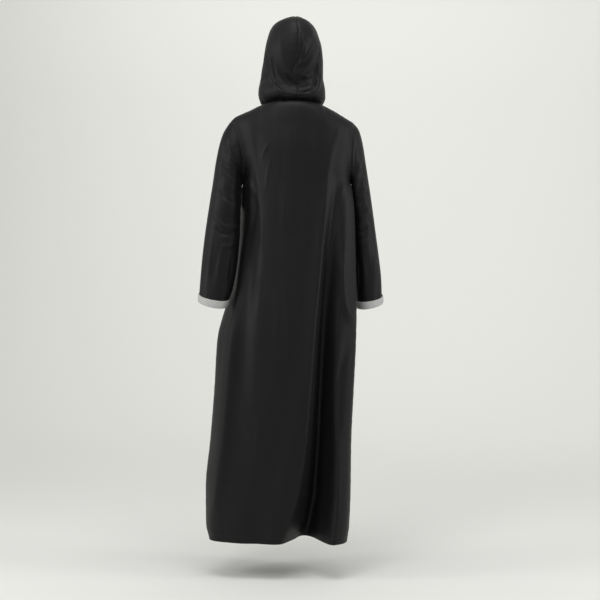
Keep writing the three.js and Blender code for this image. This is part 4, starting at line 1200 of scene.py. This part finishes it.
def set_inputs(node, values):
    for name, value in values.items():
        node.inputs[name].default_value = value
    return node


def new_material(name):
    material = bpy.data.materials.new(name)
    material.use_nodes = True
    set_inputs(material.node_tree.nodes["Principled BSDF"], SHADERS[name])
    return material


def weave_bump(tree, weave):
    """The threads of a weave as a bump: two sets of fine lines that cross. It also gives the lines."""
    nodes, links = tree.nodes, tree.links
    place = nodes.new("ShaderNodeTexCoord")
    turn = set_inputs(nodes.new("ShaderNodeMapping"), {"Rotation": (0, 0, math.radians(weave["turn"]))})
    links.new(place.outputs["UV"], turn.inputs["Vector"])
    both = nodes.new("ShaderNodeMath")
    both.operation = "MULTIPLY"
    for i, direction in enumerate(("X", "Y")):
        wave = set_inputs(nodes.new("ShaderNodeTexWave"), WEAVE_WAVE)
        wave.bands_direction = direction
        wave.inputs["Scale"].default_value = WAVE_LINES / weave["pitch"]
        links.new(turn.outputs["Vector"], wave.inputs["Vector"])
        links.new(wave.outputs["Fac"], both.inputs[i])
    bump = set_inputs(nodes.new("ShaderNodeBump"), weave["bump"])
    links.new(both.outputs[0], bump.inputs["Height"])
    return bump, both


def black_cloth():
    """Smooth black cloth with a soft satin light on it, and faint crinkles down it."""
    material = new_material("black_cloth")
    nodes, links = material.node_tree.nodes, material.node_tree.links
    bump, _ = weave_bump(material.node_tree, WEAVES["black_cloth"])
    place = nodes.new("ShaderNodeTexCoord")
    stretch = set_inputs(nodes.new("ShaderNodeMapping"), {"Scale": CRINKLE_STRETCH})
    crinkle = set_inputs(nodes.new("ShaderNodeTexNoise"), CRINKLE)
    soft = set_inputs(nodes.new("ShaderNodeBump"), CRINKLE_BUMP)
    links.new(place.outputs["Object"], stretch.inputs["Vector"])
    links.new(stretch.outputs["Vector"], crinkle.inputs["Vector"])
    links.new(crinkle.outputs["Fac"], soft.inputs["Height"])
    links.new(bump.outputs["Normal"], soft.inputs["Normal"])
    links.new(soft.outputs["Normal"], nodes["Principled BSDF"].inputs["Normal"])
    return material


def grey_band():
    """Silver-grey band with fine slanting lines."""
    material = new_material("grey_band")
    nodes, links = material.node_tree.nodes, material.node_tree.links
    shader = nodes["Principled BSDF"]
    bump, weave_lines = weave_bump(material.node_tree, WEAVES["grey_band"])
    tint = nodes.new("ShaderNodeValToRGB")
    for stop, color in zip(tint.color_ramp.elements, GREY_TINTS):
        stop.color = color
    links.new(weave_lines.outputs[0], tint.inputs["Fac"])
    links.new(tint.outputs["Color"], shader.inputs["Base Color"])
    links.new(bump.outputs["Normal"], shader.inputs["Normal"])
    return material


def make_camera():
    data = bpy.data.cameras.new("camera")
    data.lens = LENS
    data.sensor_width = SENSOR
    camera = add_object("camera", data)
    camera.location = CAMERA_PLACE
    camera.rotation_euler = [math.radians(turn) for turn in CAMERA_TURN]
    bpy.context.scene.camera = camera


def make_room():
    """A pale floor that turns up into a pale wall."""
    bend = [
        (ROOM_BACK + ROOM_BEND - ROOM_BEND * math.sin(a), FLOOR_Z + ROOM_BEND - ROOM_BEND * math.cos(a))
        for a in np.linspace(0, math.pi / 2, ROOM_BEND_STEPS)
    ]
    profile = [(ROOM_FRONT, FLOOR_Z)] + bend + [(ROOM_BACK, ROOM_TOP)]
    points = np.array([(x, y, z) for y, z in profile for x in (-ROOM_SIDE, ROOM_SIDE)])
    quads = np.array([(2 * i + 1, 2 * i, 2 * i + 2, 2 * i + 3) for i in range(len(profile) - 1)])
    room = mesh_object("room", points, quads, None, new_material("room"))


def make_light(name, place, target, size, power):
    data = bpy.data.lights.new(name, "AREA")
    data.shape = "RECTANGLE"
    data.size, data.size_y = size
    data.energy = power
    light = add_object(name, data)
    light.location = place
    direction = np.array(target) - np.array(place)
    yaw = math.atan2(direction[1], direction[0])
    pitch = math.atan2(direction[2], math.hypot(direction[0], direction[1]))
    light.rotation_euler = (math.pi / 2 + pitch, 0, yaw - math.pi / 2)


def make_lights():
    world = bpy.data.worlds.new("studio")
    bpy.context.scene.world = world
    world.use_nodes = True
    background = world.node_tree.nodes["Background"]
    background.inputs["Color"].default_value = WORLD_COLOR
    background.inputs["Strength"].default_value = WORLD_STRENGTH
    for name, light in LIGHTS.items():
        make_light(name, **light)


make_camera()
BLACK = black_cloth()
GREY = grey_band()
BLACK_THREAD = new_material("black_thread")
GREY_THREAD = new_material("grey_thread")


def lay_cloth(shell, node):
    """Puts a cloth shell in place of its CAD node."""
    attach(shell, "root")
    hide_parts(node)


def add_cloth(piece):
    """The black cloth of a piece."""
    shell = shell_mesh(piece.name + "_cloth", turned_in(piece), piece.closed, piece.outward, WALL, BLACK)
    lay_cloth(shell, piece.name)


def cuff_piece(side):
    """A cuff band: the sleeve's end moved out, with soft rounded edges and stitches along both."""
    sleeve = SLEEVES[side]
    name = "cuff_" + side
    rings = np.linspace(band_ring(sleeve), CUFF_RING, BAND_ROWS + 1)
    base = sleeve_point(sleeve, rings[:, None], sleeve_angles()[None, :])
    outward = -sleeve["side"]
    t = np.linspace(-1, 1, BAND_ROWS + 1)[:, None]
    rng = np.random.default_rng(SEEDS["cuff"])
    ripple = np.zeros(SLEEVE_COLUMNS)
    for waves in BAND_WAVES:
        ripple += BAND_RIPPLE * np.sin(waves * sleeve_angles() + rng.uniform(0, 2 * math.pi))
    puff = BAND_PUFF * (1 - np.abs(t) ** BAND_SOFTNESS) + ripple[None, :] * (1 - BAND_RIPPLE_FADE * t)
    grid = base + grid_normals(base, True, outward) * (SEAM_GAP + BAND_WALL + puff)[..., None]
    normals = grid_normals(grid, True, outward)
    shell = shell_mesh(name + "_cloth", grid, True, outward, BAND_WALL, GREY)
    lay_cloth(shell, name)
    rows = [BAND_STITCH_ROW, BAND_ROWS - BAND_STITCH_ROW]
    lines = [[np.concatenate([a[r], a[r][:1]]) for a in (grid, normals)] for r in rows]
    stitches(name + "_stitches", lines, GREY_THREAD)


def hood_piece(side, creases):
    name = "left" if side > 0 else "right"
    behind = NECK_COLUMNS["back_" + name]
    under_panel = np.where(np.arange(behind + NECK_COLUMNS["front"] + 1) > behind, 1, -1)
    return Piece(
        "hood_" + name, hood_grid(side), closed=False, outward=-side,
        seams={"first": side, "low": under_panel}, creases=creases, drape=HOOD_DRAPE, crossed="first",
    )


def sleeve_piece(name, back_creases, front_creases):
    sleeve = SLEEVES[name]
    under_panel = np.where(np.arange(SLEEVE_COLUMNS) > UPPER_ROWS, 1, -1)
    return Piece(
        "sleeve_" + name, sleeve_grid(sleeve), closed=True, outward=-sleeve["side"],
        seams={"low": under_panel}, creases=[(1, back_creases), (-1, front_creases)],
    )


def panel_piece(face, outward, creases):
    return Piece(
        face, panel_grid(face), closed=False, outward=outward,
        seams={"first": outward, "last": outward, "high": outward}, creases=[(outward, creases)],
    )


back = panel_piece("back", 1, BACK_CREASES)
front = panel_piece("front", -1, FRONT_CREASES)
sleeve_left = sleeve_piece("left", LEFT_BACK_CREASES, LEFT_FRONT_CREASES)
sleeve_right = sleeve_piece("right", RIGHT_BACK_CREASES, RIGHT_FRONT_CREASES)
hood_creases = [(1, HOOD_BACK_CREASES), (-1, HOOD_FRONT_CREASES)]
hood_left = hood_piece(1, hood_creases)
hood_right = hood_piece(-1, hood_creases)
pieces = [back, front, sleeve_left, sleeve_right, hood_left, hood_right]
shared = seam_keys(pieces)
share_normals(pieces, shared)
for piece in pieces:
    dress(piece)
share_normals(pieces, shared)

add_cloth(back)
add_cloth(front)
for piece in (sleeve_left, sleeve_right, hood_left, hood_right):
    add_cloth(piece)
for side in SLEEVES:
    cuff_piece(side)
hem = HEM_LEVELS.index(HEM_STITCH_LEVEL)
hem_lines = [(piece.grid[hem], piece.normals[hem]) for piece in (back, front)]
stitches("hem_stitches", hem_lines, BLACK_THREAD)
hood_lines = []
for piece in (hood_left, hood_right):
    hood_lines.append((piece.grid[:, FACE_STITCH_COLUMN], piece.normals[:, FACE_STITCH_COLUMN]))
    hood_lines.append((piece.grid[NECK_STITCH_ROW], piece.normals[NECK_STITCH_ROW]))
stitches("hood_stitches", hood_lines, BLACK_THREAD)
make_room()
make_lights()
bpy.context.scene.view_settings.view_transform = "Standard"
